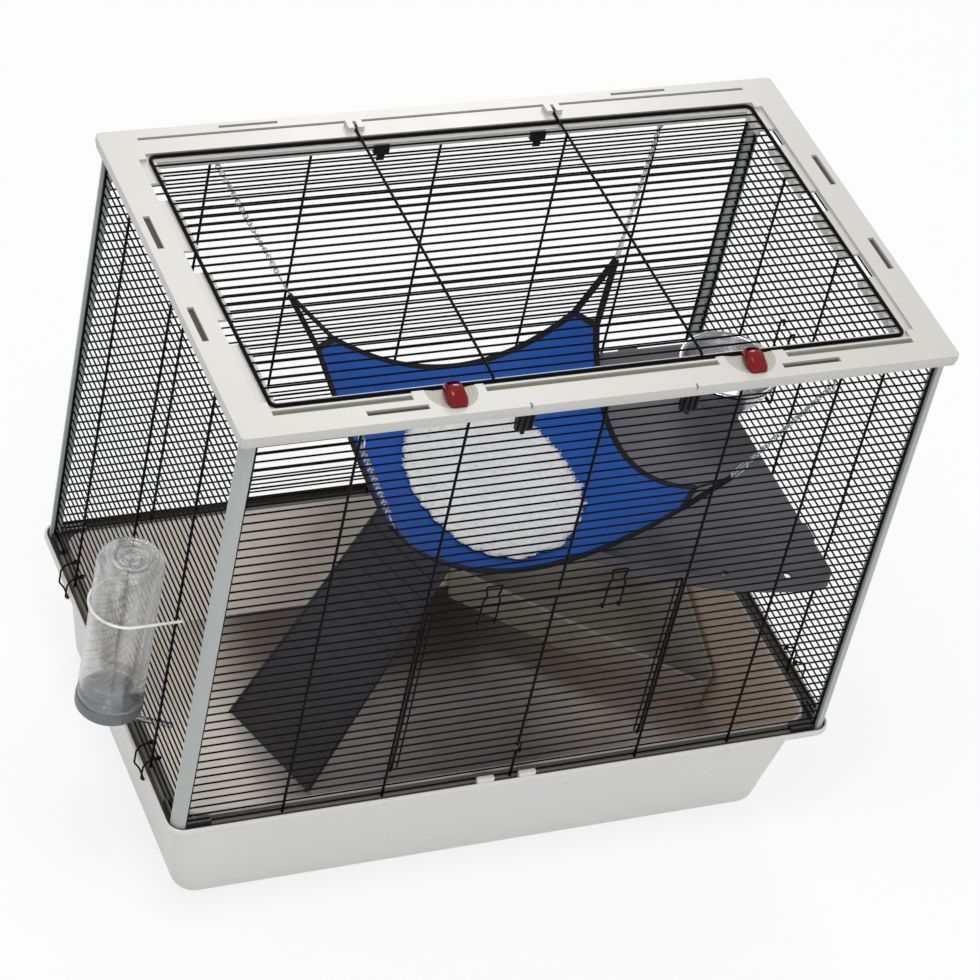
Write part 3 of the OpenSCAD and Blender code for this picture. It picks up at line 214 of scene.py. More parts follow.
def finish_base(name, color, low, high, tone=0.05, tone_scale=7.0, rub_scale=35.0):
    material = bpy.data.materials.new(name)
    material.use_nodes = True
    tree = material.node_tree
    shader = tree.nodes["Principled BSDF"]
    toned = use_group(tree, tone_group, {"Color": (*color, 1.0), "Scale": tone_scale, "Amount": tone})
    rubbed = use_group(tree, rub_group, {"Low": low, "High": high, "Scale": rub_scale})
    tree.links.new(toned.outputs["Color"], shader.inputs["Base Color"])
    tree.links.new(rubbed.outputs["Roughness"], shader.inputs["Roughness"])
    return material, tree, shader, toned


def add_bump(tree, shader, height, strength, distance):
    bump = node(tree, "ShaderNodeBump",
        {"Height": height, "Strength": strength, "Distance": distance})
    tree.links.new(bump.outputs["Normal"], shader.inputs["Normal"])


print("finish helpers ready")

# %% [markdown]
# The tray, posts, frame, shelf, ladder and pan are injection-moulded plastic. They differ in
# colour, gloss and grain only, so one function makes them all.

# %% Helper: a moulded plastic
def plastic(name, color, low, high, grain=1400.0, waves=9.0, depth=0.00004, strength=0.25,
        shine=0.5, **more):
    material, tree, shader, toned = finish_base(name, color, low, high, **more)
    grained = use_group(tree, grain_group, {"Grain": grain, "Waves": waves, "Wave Share": 1.0})
    add_bump(tree, shader, grained.outputs["Height"], strength, depth)
    shader.inputs["IOR"].default_value = 1.5
    shader.inputs["Specular IOR Level"].default_value = shine
    return material


frame_plastic = plastic("frame_plastic", (0.56, 0.55, 0.515), 0.30, 0.34,
    tone=0.008, tone_scale=3.0, rub_scale=12.0)
post_plastic = plastic("post_plastic", (0.40, 0.425, 0.415), 0.32, 0.42, tone=0.015, rub_scale=15.0)
pan_plastic = plastic("pan_plastic", (0.52, 0.49, 0.44), 0.32, 0.42, tone=0.03)
cap_plastic = plastic("cap_plastic", (0.13, 0.145, 0.15), 0.14, 0.24, tone=0.03)
print("pale plastics made")

# %% [markdown]
# The shelf and the ladder are dark and nearly matt, with a coarser grain and less shine. The
# panel clips are black. The red latches are the one glossy plastic: their grain is so weak that
# the lamps show in them as clear spots.

# %% Dark and red plastics
shelf_plastic = plastic("shelf_plastic", (0.108, 0.108, 0.120), 0.42, 0.52, grain=900.0,
    strength=0.5, shine=0.25, tone=0.08)
ladder_plastic = plastic("ladder_plastic", (0.046, 0.044, 0.050), 0.42, 0.52, grain=900.0,
    strength=0.4, shine=0.4, tone=0.10)
clip_plastic = plastic("clip_plastic", (0.004, 0.004, 0.0045), 0.30, 0.45, tone=0.15, shine=0.15)
latch_plastic = plastic("latch_plastic", (0.17, 0.004, 0.004), 0.13, 0.17, grain=400.0,
    depth=0.00002, strength=0.06, shine=0.32, tone=0.06)
print("dark and red plastics made")

# %% [markdown]
# The tray is pale outside. Inside, under the bars, the real one runs from pale at its left end
# to nearly black in the middle, where the shelf and the fittings shade it, and back. Lamps this
# soft don't draw that, so it is painted light and shade: a colour ramp along X goes into the tone
# group in place of the finish's one colour. The walls get a weaker ramp of painted light of their own.

# %% Tray plastics
RAMP_REACH = 0.4


def across(material, stops):
    """Colours along X, in metres, that take the place of a finish's one colour: painted light and shade.
    """
    tree = material.node_tree
    toned = next(n for n in tree.nodes if n.type == "GROUP" and n.node_tree == tone_group)
    place = node(tree, "ShaderNodeTexCoord")
    parts = node(tree, "ShaderNodeSeparateXYZ", {0: place.outputs["Object"]})
    share = node(tree, "ShaderNodeMapRange",
        {"Value": parts.outputs["X"], "From Min": -RAMP_REACH, "From Max": RAMP_REACH})
    ramp = node(tree, "ShaderNodeValToRGB", {"Fac": share.outputs["Result"]})
    ramp.color_ramp.interpolation = "EASE"
    for i, (x, color) in enumerate(stops):
        stop = ramp.color_ramp.elements[i] if i < 2 else ramp.color_ramp.elements.new(1.0)
        stop.position = (x + RAMP_REACH) / (2 * RAMP_REACH)
        stop.color = (*color, 1.0)
    tree.links.new(ramp.outputs["Color"], toned.inputs["Color"])


tray_plastic = plastic("tray_plastic", (0.66, 0.655, 0.635), 0.27, 0.31,
    tone=0.008, tone_scale=3.0, rub_scale=12.0)
# Painted light and shade: the ramp below makes the floor pale at the left and nearly black in the middle.
tray_floor_painted_light_and_shade = plastic("tray_floor_painted_light_and_shade", (0.40, 0.345, 0.315), 0.34, 0.40,
    tone=0.04, tone_scale=4.0, rub_scale=12.0)
across(tray_floor_painted_light_and_shade, [(-0.34, (0.90, 0.86, 0.76)), (-0.25, (0.80, 0.74, 0.65)),
    (-0.13, (0.15, 0.128, 0.112)), (0.08, (0.058, 0.048, 0.043)), (0.3, (0.58, 0.50, 0.43))])
# Painted light: the walls' ramp is paler than the outside and pales further to the left.
tray_wall_painted_light = plastic("tray_wall_painted_light", (0.70, 0.63, 0.56), 0.34, 0.40,
    tone=0.03, tone_scale=4.0, rub_scale=12.0)
across(tray_wall_painted_light, [(-0.3, (0.95, 0.89, 0.80)), (0.0, (0.95, 0.86, 0.75)), (0.3, (0.80, 0.66, 0.53))])
print("tray plastics made")

# %% [markdown]
# Gutters, grooves and slots are in deep shade, which soft lamps don't show at this size, so their
# floors get darker finishes of their own, with almost no shine, as painted shade: one for the tray's
# gutter, one for shallow grooves, one for the dishes round the latches, one for the slots of the
# frame, and a nearly black one for the posts' foot plates.

# %% Plastics in the shade
gutter_painted_shade = plastic("gutter_painted_shade", (0.055, 0.043, 0.033), 0.5, 0.6, shine=0.2, tone=0.05)
groove_painted_shade = plastic("groove_painted_shade", (0.19, 0.175, 0.135), 0.5, 0.6, shine=0.2, tone=0.05)
recess_painted_shade = plastic("recess_painted_shade", (0.075, 0.068, 0.055), 0.5, 0.6, shine=0.2, tone=0.05)
dish_painted_shade = plastic("dish_painted_shade", (0.40, 0.385, 0.335), 0.40, 0.50, tone=0.03)
foot_painted_shade = plastic("foot_painted_shade", (0.03, 0.03, 0.032), 0.25, 0.35, tone=0.05)
print("shaded plastics made")

# %% [markdown]
# The wires are steel with a baked black coating. It pools thicker in some places than others, so
# its bump is long and soft, with only a coarse grain. It is so dark that most of its shine is
# taken away too. The bottle's hoop has the same coating in white, and the seal is rubber.

# %% Coated wire and rubber
def coated(name, color, low, high, shine=0.5):
    material, tree, shader, toned = finish_base(name, color, low, high,
        tone=0.18, tone_scale=40.0, rub_scale=90.0)
    pooled = use_group(tree, grain_group, {"Grain": 500.0, "Waves": 60.0, "Wave Share": 2.0})
    add_bump(tree, shader, pooled.outputs["Height"], 0.3, 0.00008)
    shader.inputs["Specular IOR Level"].default_value = shine
    return material


wire_coat = coated("wire_coat", (0.0025, 0.0025, 0.003), 0.36, 0.50, shine=0.07)
white_coat = coated("white_coat", (0.78, 0.79, 0.78), 0.18, 0.30)
seal_rubber = coated("seal_rubber", (0.05, 0.05, 0.053), 0.55, 0.70)
print("coatings made")

# %% [markdown]
# Steel is the one metal here, on the bowl, the spout, the pins and the chains. Metallic is 1, the
# colour is the metal's own, and fine streaks in the roughness show how it was polished.

# %% Steel
def steel(name, color, low, high, streak):
    material = bpy.data.materials.new(name)
    material.use_nodes = True
    tree = material.node_tree
    shader = tree.nodes["Principled BSDF"]
    shader.inputs["Metallic"].default_value = 1.0
    toned = use_group(tree, tone_group, {"Color": (*color, 1.0), "Scale": 25.0, "Amount": 0.06})
    tree.links.new(toned.outputs["Color"], shader.inputs["Base Color"])
    place = node(tree, "ShaderNodeTexCoord")
    stretch = node(tree, "ShaderNodeMapping", {"Vector": place.outputs["Object"], "Scale": streak})
    lines = node(tree, "ShaderNodeTexNoise",
        {"Vector": stretch.outputs["Vector"], "Scale": 60.0, "Detail": 4.0})
    rough = node(tree, "ShaderNodeMapRange", {"Value": lines.outputs["Fac"], "From Min": 0.3,
        "From Max": 0.7, "To Min": low, "To Max": high})
    tree.links.new(rough.outputs["Result"], shader.inputs["Roughness"])
    add_bump(tree, shader, lines.outputs["Fac"], 0.12, 0.00004)
    return material


bowl_steel = steel("bowl_steel", (0.62, 0.62, 0.63), 0.16, 0.30, (1.0, 1.0, 14.0))
chain_steel = steel("chain_steel", (0.60, 0.61, 0.63), 0.18, 0.32, (6.0, 6.0, 1.0))
print("steels made")

# %% [markdown]
# The bottle is clear blown plastic. Real glass and clear plastic are drawn with Transmission, and
# a wall with an inside and an outside face bends the light twice, as the real one does. About a
# third of a plain Transparent shader is mixed in: thin plastic hardly bends the light, and
# without it the bottle came out darker than the real one.

# %% Clear plastic
def clear_plastic(name, color):
    material = bpy.data.materials.new(name)
    material.use_nodes = True
    tree = material.node_tree
    shader = tree.nodes["Principled BSDF"]
    shader.inputs["Transmission Weight"].default_value = 1.0
    shader.inputs["IOR"].default_value = 1.42
    toned = use_group(tree, tone_group, {"Color": (*color, 1.0), "Scale": 18.0, "Amount": 0.02})
    rubbed = use_group(tree, rub_group, {"Low": 0.02, "High": 0.07, "Scale": 25.0})
    tree.links.new(toned.outputs["Color"], shader.inputs["Base Color"])
    tree.links.new(rubbed.outputs["Roughness"], shader.inputs["Roughness"])
    blown = use_group(tree, grain_group, {"Grain": 60.0, "Waves": 22.0, "Wave Share": 1.5})
    add_bump(tree, shader, blown.outputs["Height"], 0.25, 0.0006)
    straight = node(tree, "ShaderNodeBsdfTransparent")
    mixed = node(tree, "ShaderNodeMixShader",
        {0: 0.35, 1: shader.outputs[0], 2: straight.outputs[0]})
    tree.links.new(mixed.outputs[0], tree.nodes["Material Output"].inputs["Surface"])
    return material


bottle_clear = clear_plastic("bottle_clear", (0.965, 0.98, 0.985))
print("clear plastic made")

# %% [markdown]
# Two weaves cover the cloth pieces: a fine blue nylon with a faint sheen, and black webbing with
# coarser threads. The thread count is per millimetre of the piece's own UV map.

# %% Woven finishes
def woven(name, color, threads, strength, sheen):
    material, tree, shader, toned = finish_base(name, color, 0.62, 0.80, tone=0.09, tone_scale=11.0)
    weave = use_group(tree, weave_group, {"Threads": threads})
    # Painted shade: the low threads of the weave are darkened.
    darker = node(tree, "ShaderNodeMapRange", {"Value": weave.outputs["Shade"], "From Min": 0.0,
        "From Max": 1.0, "To Min": 0.82, "To Max": 1.08})
    shaded = node(tree, "ShaderNodeHueSaturation",
        {"Color": toned.outputs["Color"], "Value": darker.outputs["Result"]})
    tree.links.new(shaded.outputs["Color"], shader.inputs["Base Color"])
    add_bump(tree, shader, weave.outputs["Height"], strength, 0.00025)
    shader.inputs["Sheen Weight"].default_value = sheen
    shader.inputs["Sheen Roughness"].default_value = 0.4
    shader.inputs["Specular IOR Level"].default_value = 0.15
    return material


blue_cloth = woven("blue_cloth", (0.012, 0.082, 0.37), 1.6, 0.5, 0.02)
webbing = woven("webbing", (0.008, 0.008, 0.009), 1.0, 0.8, 0.08)
print("weaves made")

# %% [markdown]
# Fleece is a pile of fine fibres, and its surface is a mass of small curls. A coarse noise and a
# fine, distorted one add up to those curls as bump, the fine one also darkens the gaps between
# them as painted shade, and a strong sheen gives the soft pale edge.

# %% Fleece
def pile(name, color):
    material, tree, shader, toned = finish_base(name, color, 0.85, 0.95, tone=0.05, tone_scale=60.0)
    place = node(tree, "ShaderNodeTexCoord")
    curl = node(tree, "ShaderNodeTexNoise",
        {"Vector": place.outputs["Object"], "Scale": 90.0, "Detail": 4.0})
    tufts = node(tree, "ShaderNodeTexNoise", {"Vector": place.outputs["Object"], "Scale": 420.0,
        "Detail": 5.0, "Roughness": 0.7, "Distortion": 1.2})
    both = node(tree, "ShaderNodeMath",
        {0: curl.outputs["Fac"], 1: tufts.outputs["Fac"]}, operation="ADD")
    add_bump(tree, shader, both.outputs[0], 1.0, 0.0025)
    # Painted shade in the gaps between the curls.
    dark = node(tree, "ShaderNodeMapRange", {"Value": tufts.outputs["Fac"], "From Min": 0.35,
        "From Max": 0.6, "To Min": 0.84, "To Max": 1.02})
    shaded = node(tree, "ShaderNodeHueSaturation",
        {"Color": toned.outputs["Color"], "Value": dark.outputs["Result"]})
    tree.links.new(shaded.outputs["Color"], shader.inputs["Base Color"])
    shader.inputs["Sheen Weight"].default_value = 0.9
    shader.inputs["Sheen Roughness"].default_value = 0.6
    return material


white_fleece = pile("white_fleece", (0.99, 0.99, 0.985))
print("fleece made")

# %% [markdown]
# Now the helpers that make pieces. `piece` turns a bmesh in millimetres into a finished object
# that rides on its body, stands in for its CAD nodes and has a slot for its finish. `repaint`
# gives some of its faces a second finish, by a rule on where they are and which way they look.
# `baked` keeps the mesh that an object's modifiers make.

# %% Helper: a finished piece
MM = 0.001
pieces = []


def link(name, mesh, material, body, nodes, smooth):
    """Smooth is the angle past which an edge stays sharp; 0 keeps the mesh's own shading."""
    mesh.materials.clear()
    mesh.materials.append(material)
    if smooth:
        mesh.shade_smooth()
        mesh.set_sharp_from_angle(angle=math.radians(smooth))
    thing = bpy.data.objects.new(name, mesh)
    bpy.context.scene.collection.objects.link(thing)
    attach(thing, body)
    if nodes:
        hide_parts(*nodes)
    pieces.append(thing)
    return thing


def piece(name, bm, material, body="cage", nodes=(), smooth=35):
    bmesh.ops.remove_doubles(bm, verts=bm.verts, dist=0.002)
    bmesh.ops.recalc_face_normals(bm, faces=bm.faces)
    bmesh.ops.scale(bm, vec=(MM, MM, MM), verts=bm.verts)
    mesh = bpy.data.meshes.new(name)
    bm.to_mesh(mesh)
    bm.free()
    return link(name, mesh, material, body, nodes, smooth)


def repaint(thing, material, chosen):
    """A second finish for the faces whose centre, in millimetres, and normal meet a rule."""
    thing.data.materials.append(material)
    for face in thing.data.polygons:
        if chosen(face.center / MM, face.normal):
            face.material_index = len(thing.data.materials) - 1


def baked(thing):
    depsgraph = bpy.context.evaluated_depsgraph_get()
    return bpy.data.meshes.new_from_object(thing.evaluated_get(depsgraph))


print("piece helpers ready")

# %% [markdown]
# Bent wire has a round bend at every corner. `bent` takes a path of straight runs and puts a
# curve in place of each corner: two lines are blended into a third, which gives a smooth arc
# without any trigonometry. `circle` gives the points of an eye or a hoop.

# %% Helper: bends and circles
def bent(points, radius, steps=5):
    """The points of a path with each corner replaced by a smooth bend."""
    points = [Vector(p) for p in points]
    path = [points[0]]
    for before, corner, after in zip(points, points[1:], points[2:]):
        a = (before - corner).normalized()
        b = (after - corner).normalized()
        half = a.angle(b) / 2
        if half > math.radians(88):
            path.append(corner)
            continue
        reach = min(radius / math.tan(half), (before - corner).length * 0.49,
            (after - corner).length * 0.49)
        for i in range(steps + 1):
            t = i / steps
            first = (corner + a * reach).lerp(corner, t)
            path.append(first.lerp(corner.lerp(corner + b * reach, t), t))
    path.append(points[-1])
    return path


def circle(centre, radius, axes, count=16):
    """Points of a circle in the plane of two axes, 0 for X, 1 for Y and 2 for Z."""
    points = []
    for i in range(count):
        angle = 2 * math.pi * i / count
        point = list(centre)
        point[axes[0]] += radius * math.cos(angle)
        point[axes[1]] += radius * math.sin(angle)
        points.append(point)
    return points


print("points in a bend:", len(bent([(0, 0, 0), (10, 0, 0), (10, 10, 0)], 3)))

# %% [markdown]
# A curve with a round bevel is the quickest way to a wire with bends. `wires` turns rows of
# points into one mesh of round wire: `runs` have two capped ends, `loops` close on themselves.
# `joined` makes one object of several pieces that have the same finish, such as the thin and the
# thick wires of a panel.

# %% Helper: round wire
def wires(name, runs, radius, material, body="cage", nodes=(), sides=10, loops=()):
    curve = bpy.data.curves.new(name, "CURVE")
    curve.dimensions = "3D"
    curve.bevel_depth = radius * MM
    curve.bevel_resolution = (sides - 4) // 2
    curve.use_fill_caps = True
    for points, closed in [(r, False) for r in runs] + [(r, True) for r in loops]:
        spline = curve.splines.new("POLY")
        spline.points.add(len(points) - 1)
        for at, p in zip(spline.points, points):
            at.co = (p[0] * MM, p[1] * MM, p[2] * MM, 1.0)
        spline.use_cyclic_u = closed
        spline.use_smooth = True
    helper = bpy.data.objects.new(name + "_path", curve)
    bpy.context.scene.collection.objects.link(helper)
    mesh = baked(helper)
    bpy.data.objects.remove(helper)
    bpy.data.curves.remove(curve)
    return link(name, mesh, material, body, nodes, 60)


def joined(name, parts, body, nodes):
    bm = bmesh.new()
    for part in parts:
        bm.from_mesh(part.data)
    mesh = bpy.data.meshes.new(name)
    bm.to_mesh(mesh)
    bm.free()
    material = parts[0].data.materials[0]
    for part in parts:
        pieces.remove(part)
        bpy.data.objects.remove(part)
    return link(name, mesh, material, body, nodes, 50)


print("wire helpers ready")

# %% [markdown]
# Where the CAD model has the right shape, `dressed` copies its node, merges the loose triangles
# and rounds the edges with a Bevel modifier. The narrow rounded strips would pull the shading of
# the large flat faces beside them askew, so a Weighted Normal modifier follows: it gives every
# flat face its own direction back and leaves all of the turn to the rounded strips.

# %% Helper: a CAD moulding with rounded edges
def dressed(node_name, width, material, body="cage", segments=2, angle=30):
    mesh = frame["nodes"][node_name].data.copy()
    bm = bmesh.new()
    bm.from_mesh(mesh)
    bmesh.ops.remove_doubles(bm, verts=bm.verts, dist=0.00001)
    bmesh.ops.dissolve_limit(bm, angle_limit=math.radians(1.0), verts=bm.verts, edges=bm.edges)
    bm.to_mesh(mesh)
    bm.free()
    mesh.shade_smooth()
    helper = bpy.data.objects.new(node_name + "_copy", mesh)
    bpy.context.scene.collection.objects.link(helper)
    rounding = helper.modifiers.new("rounding", "BEVEL")
    rounding.width = width * MM
    rounding.segments = segments
    rounding.limit_method = "ANGLE"
    rounding.angle_limit = math.radians(angle)
    rounding.use_clamp_overlap = True
    flat = helper.modifiers.new("flat_faces", "WEIGHTED_NORMAL")
    flat.weight = 100
    flat.keep_sharp = False
    result = baked(helper)
    bpy.data.objects.remove(helper)
    return link(node_name + "_skin", result, material, body, (node_name,), 0)


print("moulding helper ready")

# %% [markdown]
# The panels come first. Each has 48 level bars of 2 mm wire, and upright bars of 3 mm wire welded
# to their outside. The values repeat those of the CAD model. Bars are counted from the lowest.

# %% Sizes of the panels
PITCH = 11.5
PANEL_X = 377.5
PANEL_Y = 227.5
LEVEL_R = 1.0
UPRIGHT_R = 1.5
UPRIGHT_OUT = 2.01
EDGE_X = 369.7
EDGE_Y = 219.7
PANEL_TOP = 695.7
UPRIGHT_FOOT = 148.3
EDGE_FOOT = 154.6
LOWEST_BAR_Z = 150.8
LAST_BAR = 47
SIDE_UPRIGHTS = (-140, 0, 140)
DOORWAY_HALF = 149
OUTER_UPRIGHT = 262


def bar_z(k):
    return LOWEST_BAR_Z + k * PITCH


print("bars in a panel:", LAST_BAR + 1, "top bar at:", bar_z(LAST_BAR))

# %% [markdown]
# Three of the four panels differ only in where they stand and how long they are. `wall` works
# along the panel, out of it and up, and a short function for each panel turns those three into
# a place on its own side of the cage. The outermost uprights start higher, above the posts' feet.

# %% Wall panels
def upright(place, x, foot):
    return [place(x, UPRIGHT_OUT, foot), place(x, UPRIGHT_OUT, PANEL_TOP)]


def wall(name, place, edge, uprights):
    ends = (-edge - UPRIGHT_R, edge + UPRIGHT_R)
    level = [[place(x, 0, bar_z(k)) for x in ends] for k in range(LAST_BAR + 1)]
    stood = [upright(place, x, UPRIGHT_FOOT) for x in uprights]
    stood += [upright(place, s * edge, EDGE_FOOT) for s in (-1, 1)]
    thin = wires(name + "_level", level, LEVEL_R, wire_coat, sides=8)
    thick = wires(name + "_upright", stood, UPRIGHT_R, wire_coat, sides=12)
    return joined(name + "_wires", [thin, thick], "cage", (name,))


wall("wire_panel_back", lambda x, out, z: (x, PANEL_Y + out, z), EDGE_X,
    (-OUTER_UPRIGHT, -DOORWAY_HALF, 0, DOORWAY_HALF, OUTER_UPRIGHT))
wall("wire_panel_left", lambda y, out, z: (-PANEL_X - out, y, z), EDGE_Y, SIDE_UPRIGHTS)
wall("wire_panel_right", lambda y, out, z: (PANEL_X + out, y, z), EDGE_Y, SIDE_UPRIGHTS)
print("panels made:", len(pieces))

# %% [markdown]
# The front panel has a doorway between two of its bars. The level bars there stop at the
# uprights beside it, and the middle upright is left out over the height of the door.

# %% Front panel
LOW_BAR = 3
HIGH_BAR = 24


def front(x, out, z):
    return (x, -PANEL_Y - out, z)


bar_end = EDGE_X + UPRIGHT_R
door_side = DOORWAY_HALF - UPRIGHT_R
level = []
for k in range(LAST_BAR + 1):
    z = bar_z(k)
    if LOW_BAR < k < HIGH_BAR:
        level += [[front(s * door_side, 0, z), front(s * bar_end, 0, z)] for s in (-1, 1)]
    else:
        level.append([front(-bar_end, 0, z), front(bar_end, 0, z)])
stood = [upright(front, s * x, UPRIGHT_FOOT) for s in (-1, 1) for x in (DOORWAY_HALF, OUTER_UPRIGHT)]
stood += [upright(front, s * EDGE_X, EDGE_FOOT) for s in (-1, 1)]
stood += [[front(0, UPRIGHT_OUT, UPRIGHT_FOOT), front(0, UPRIGHT_OUT, bar_z(LOW_BAR))],
    upright(front, 0, bar_z(HIGH_BAR))]
joined("wire_panel_front_wires", [
    wires("front_level", level, LEVEL_R, wire_coat, sides=8),
    wires("front_upright", stood, UPRIGHT_R, wire_coat, sides=12)],
    "cage", ("wire_panel_front",))
print("front panel: level bars", len(level))

# %% [markdown]
# The front door is a welded panel of its own. It hinges on the fourth level bar by three wire
# eyes, has doubled wires up its sides, and a thicker wire along its top in the place of its last
# bar.

# %% Front door
DOOR_HALF = 145.0
DOOR_Z = bar_z(LOW_BAR)
DOOR_TOP = bar_z(HIGH_BAR - 1)
DOOR_FOOT = DOOR_Z + 5
FIRST_DOOR_BAR = bar_z(LOW_BAR + 1)
EYE_R = 1.95
EYES_X = (-DOOR_HALF, 5, DOOR_HALF)
bar_reach = DOOR_HALF + 1
second_wire = DOOR_HALF - 6
thin = [[front(-bar_reach, 0, bar_z(k)), front(bar_reach, 0, bar_z(k))]
    for k in range(LOW_BAR + 1, HIGH_BAR - 1)]
thin += [[front(s * second_wire, UPRIGHT_OUT, DOOR_FOOT), front(s * second_wire, UPRIGHT_OUT, DOOR_TOP)]
    for s in (-1, 1)]
thick = [[front(-bar_reach, 0, DOOR_TOP), front(bar_reach, 0, DOOR_TOP)],
    [front(0, UPRIGHT_OUT, FIRST_DOOR_BAR - 1), front(0, UPRIGHT_OUT, DOOR_TOP)]]
thick += [[front(s * DOOR_HALF, UPRIGHT_OUT, DOOR_FOOT), front(s * DOOR_HALF, UPRIGHT_OUT, DOOR_TOP)]
    for s in (-1, 1)]
eyes = [circle((x, -PANEL_Y, DOOR_Z), EYE_R, (2, 1)) for x in EYES_X]
stems = [[(x, -PANEL_Y, DOOR_Z + 1.9), (x, -PANEL_Y, FIRST_DOOR_BAR)] for x in EYES_X]
joined("front_door_wires", [
    wires("door_level", thin, LEVEL_R, wire_coat, body="front_door", sides=8),
    wires("door_upright", thick, UPRIGHT_R, wire_coat, body="front_door", sides=12),
    wires("door_eyes", stems, 0.9, wire_coat, body="front_door", loops=eyes)],
    "front_door", ("front_door",))
print("thin door wires:", len(thin))

# %% [markdown]
# Two wire bails lock the door. Each turns on a door bar by an eye at each leg, and its legs are
# pinched in below the top, so that it springs over the bar above the doorway.

# %% Door latches
BAIL_BAR_Z = bar_z(HIGH_BAR - 3)
BAIL_Y = -PANEL_Y - 2.9
BAIL_HALF = 9.5
BAIL_SIDE = [(0, -1), (0, 32), (3, 40), (0, 53)]
for side, x in (("left", -75.5), ("right", 66.5)):
    body = "front_door_latch_" + side
    left = [(x - BAIL_HALF + pinch, BAIL_Y, BAIL_BAR_Z + z) for pinch, z in BAIL_SIDE]
    right = [(x + BAIL_HALF - pinch, BAIL_Y, BAIL_BAR_Z + z) for pinch, z in BAIL_SIDE]
    eyes = [circle((x + s * BAIL_HALF, -PANEL_Y, BAIL_BAR_Z), EYE_R, (2, 1)) for s in (-1, 1)]
    bail = bent(left + right[::-1], 2.5)
    joined(body + "_wire", [wires(body + "_bail", [bail], 1.1, wire_coat, body=body),
        wires(body + "_eyes", [], 0.75, wire_coat, body=body, loops=eyes)],
        body, (body,))
print("points in a bail:", len(bail))

# %% [markdown]
# The roof door has the same kind of level bars, wider apart, inside a border of 4 mm wire with
# rounded corners. Two cross bars run over them to the hinge clips at the back, where they end in
# pins.

# %% Roof door
BORDER_X = 345.5
BORDER_FRONT = -196.5
BORDER_BACK = 195.5
BORDER_Z = 698.3
BORDER_CORNER = 7.0
ROOF_BAR_Z = 699.5
ROOF_PITCH = 12.5
CROSS_Z = 701.8
HINGE_X = 114.0
HINGE_Y = 213.0
PIN_HALF = 8
border = []
for sx, sy, start in ((1, 1, 0), (-1, 1, 90), (-1, -1, 180), (1, -1, 270)):
    x = sx * (BORDER_X - BORDER_CORNER)
    y = (BORDER_BACK - BORDER_CORNER) if sy > 0 else (BORDER_FRONT + BORDER_CORNER)
    for turn in [math.radians(start + 15 * i) for i in range(7)]:
        border.append((x + BORDER_CORNER * math.cos(turn), y + BORDER_CORNER * math.sin(turn), BORDER_Z))
roof_level = [[(s * BORDER_X, BORDER_FRONT + ROOF_PITCH * i, ROOF_BAR_Z) for s in (-1, 1)]
    for i in range(1, 31)]
cross = []
for x in (-HINGE_X, HINGE_X):
    cross.append(bent([(x, BORDER_FRONT, BORDER_Z + 0.4), (x, BORDER_FRONT + 4, CROSS_Z),
        (x, HINGE_Y, CROSS_Z)], 3))
    cross.append([(x, BORDER_BACK, BORDER_Z), (x, BORDER_BACK, CROSS_Z)])
    cross.append([(x - PIN_HALF, HINGE_Y, CROSS_Z), (x + PIN_HALF, HINGE_Y, CROSS_Z)])
joined("roof_door_wires", [
    wires("roof_level", roof_level, 1.1, wire_coat, body="roof_door", sides=8),
    wires("roof_border", [], 2.0, wire_coat, body="roof_door", sides=14, loops=[border]),
    wires("roof_cross", cross, 1.5, wire_coat, body="roof_door", sides=12)],
    "roof_door", ("roof_door",))
print("roof bars:", len(roof_level))

# %% [markdown]
# Several pieces are lofts: sections set one after another, with a skin between them. Each
# section is a circle whose points are moved to where they are wanted, so that it is already a
# closed ring, and bridge_loops skins one ring to the next. contextual_create closes the ends.

# %% Helpers: sections and the skin between them
def section_ring(bm, points):
    verts = bmesh.ops.create_circle(bm, segments=len(points), radius=1.0)["verts"]
    for v, p in zip(verts, points):
        v.co = p
    return verts


def ring_edges(verts):
    ring = set(verts)
    edges = []
    for v in verts:
        edges += [e for e in v.link_edges if e.other_vert(v) in ring and e not in edges]
    return edges


def skinned(bm, rings):
    for a, b in zip(rings, rings[1:]):
        bmesh.ops.bridge_loops(bm, edges=ring_edges(a) + ring_edges(b))
    for end in (rings[0], rings[-1]):
        bmesh.ops.contextual_create(bm, geom=ring_edges(end))


def rounded_rectangle(length, depth, radius, z, steps=8):
    points = []
    for i in range(4 * (steps + 1)):
        quadrant, k = divmod(i, steps + 1)
        angle = math.radians(90 * (quadrant + k / steps))
        sx = 1 if quadrant in (0, 3) else -1
        sy = 1 if quadrant in (0, 1) else -1
        points.append((sx * (length / 2 - radius) + radius * math.cos(angle),
            sy * (depth / 2 - radius) + radius * math.sin(angle), z))
    return points


print("points in a rounded rectangle:", len(rounded_rectangle(780, 480, 20, 0)))

# %% [markdown]
# The tray is one moulding with a soft, rounded bottom edge, walls that lean out, and a gutter
# round its rim that the panels stand in. It is a stack of rounded rectangles. Each entry of the
# list is one of them: how far it is inset from the outline, its height, and its corner radius.
# The list runs from the floor over the rim to the underside.

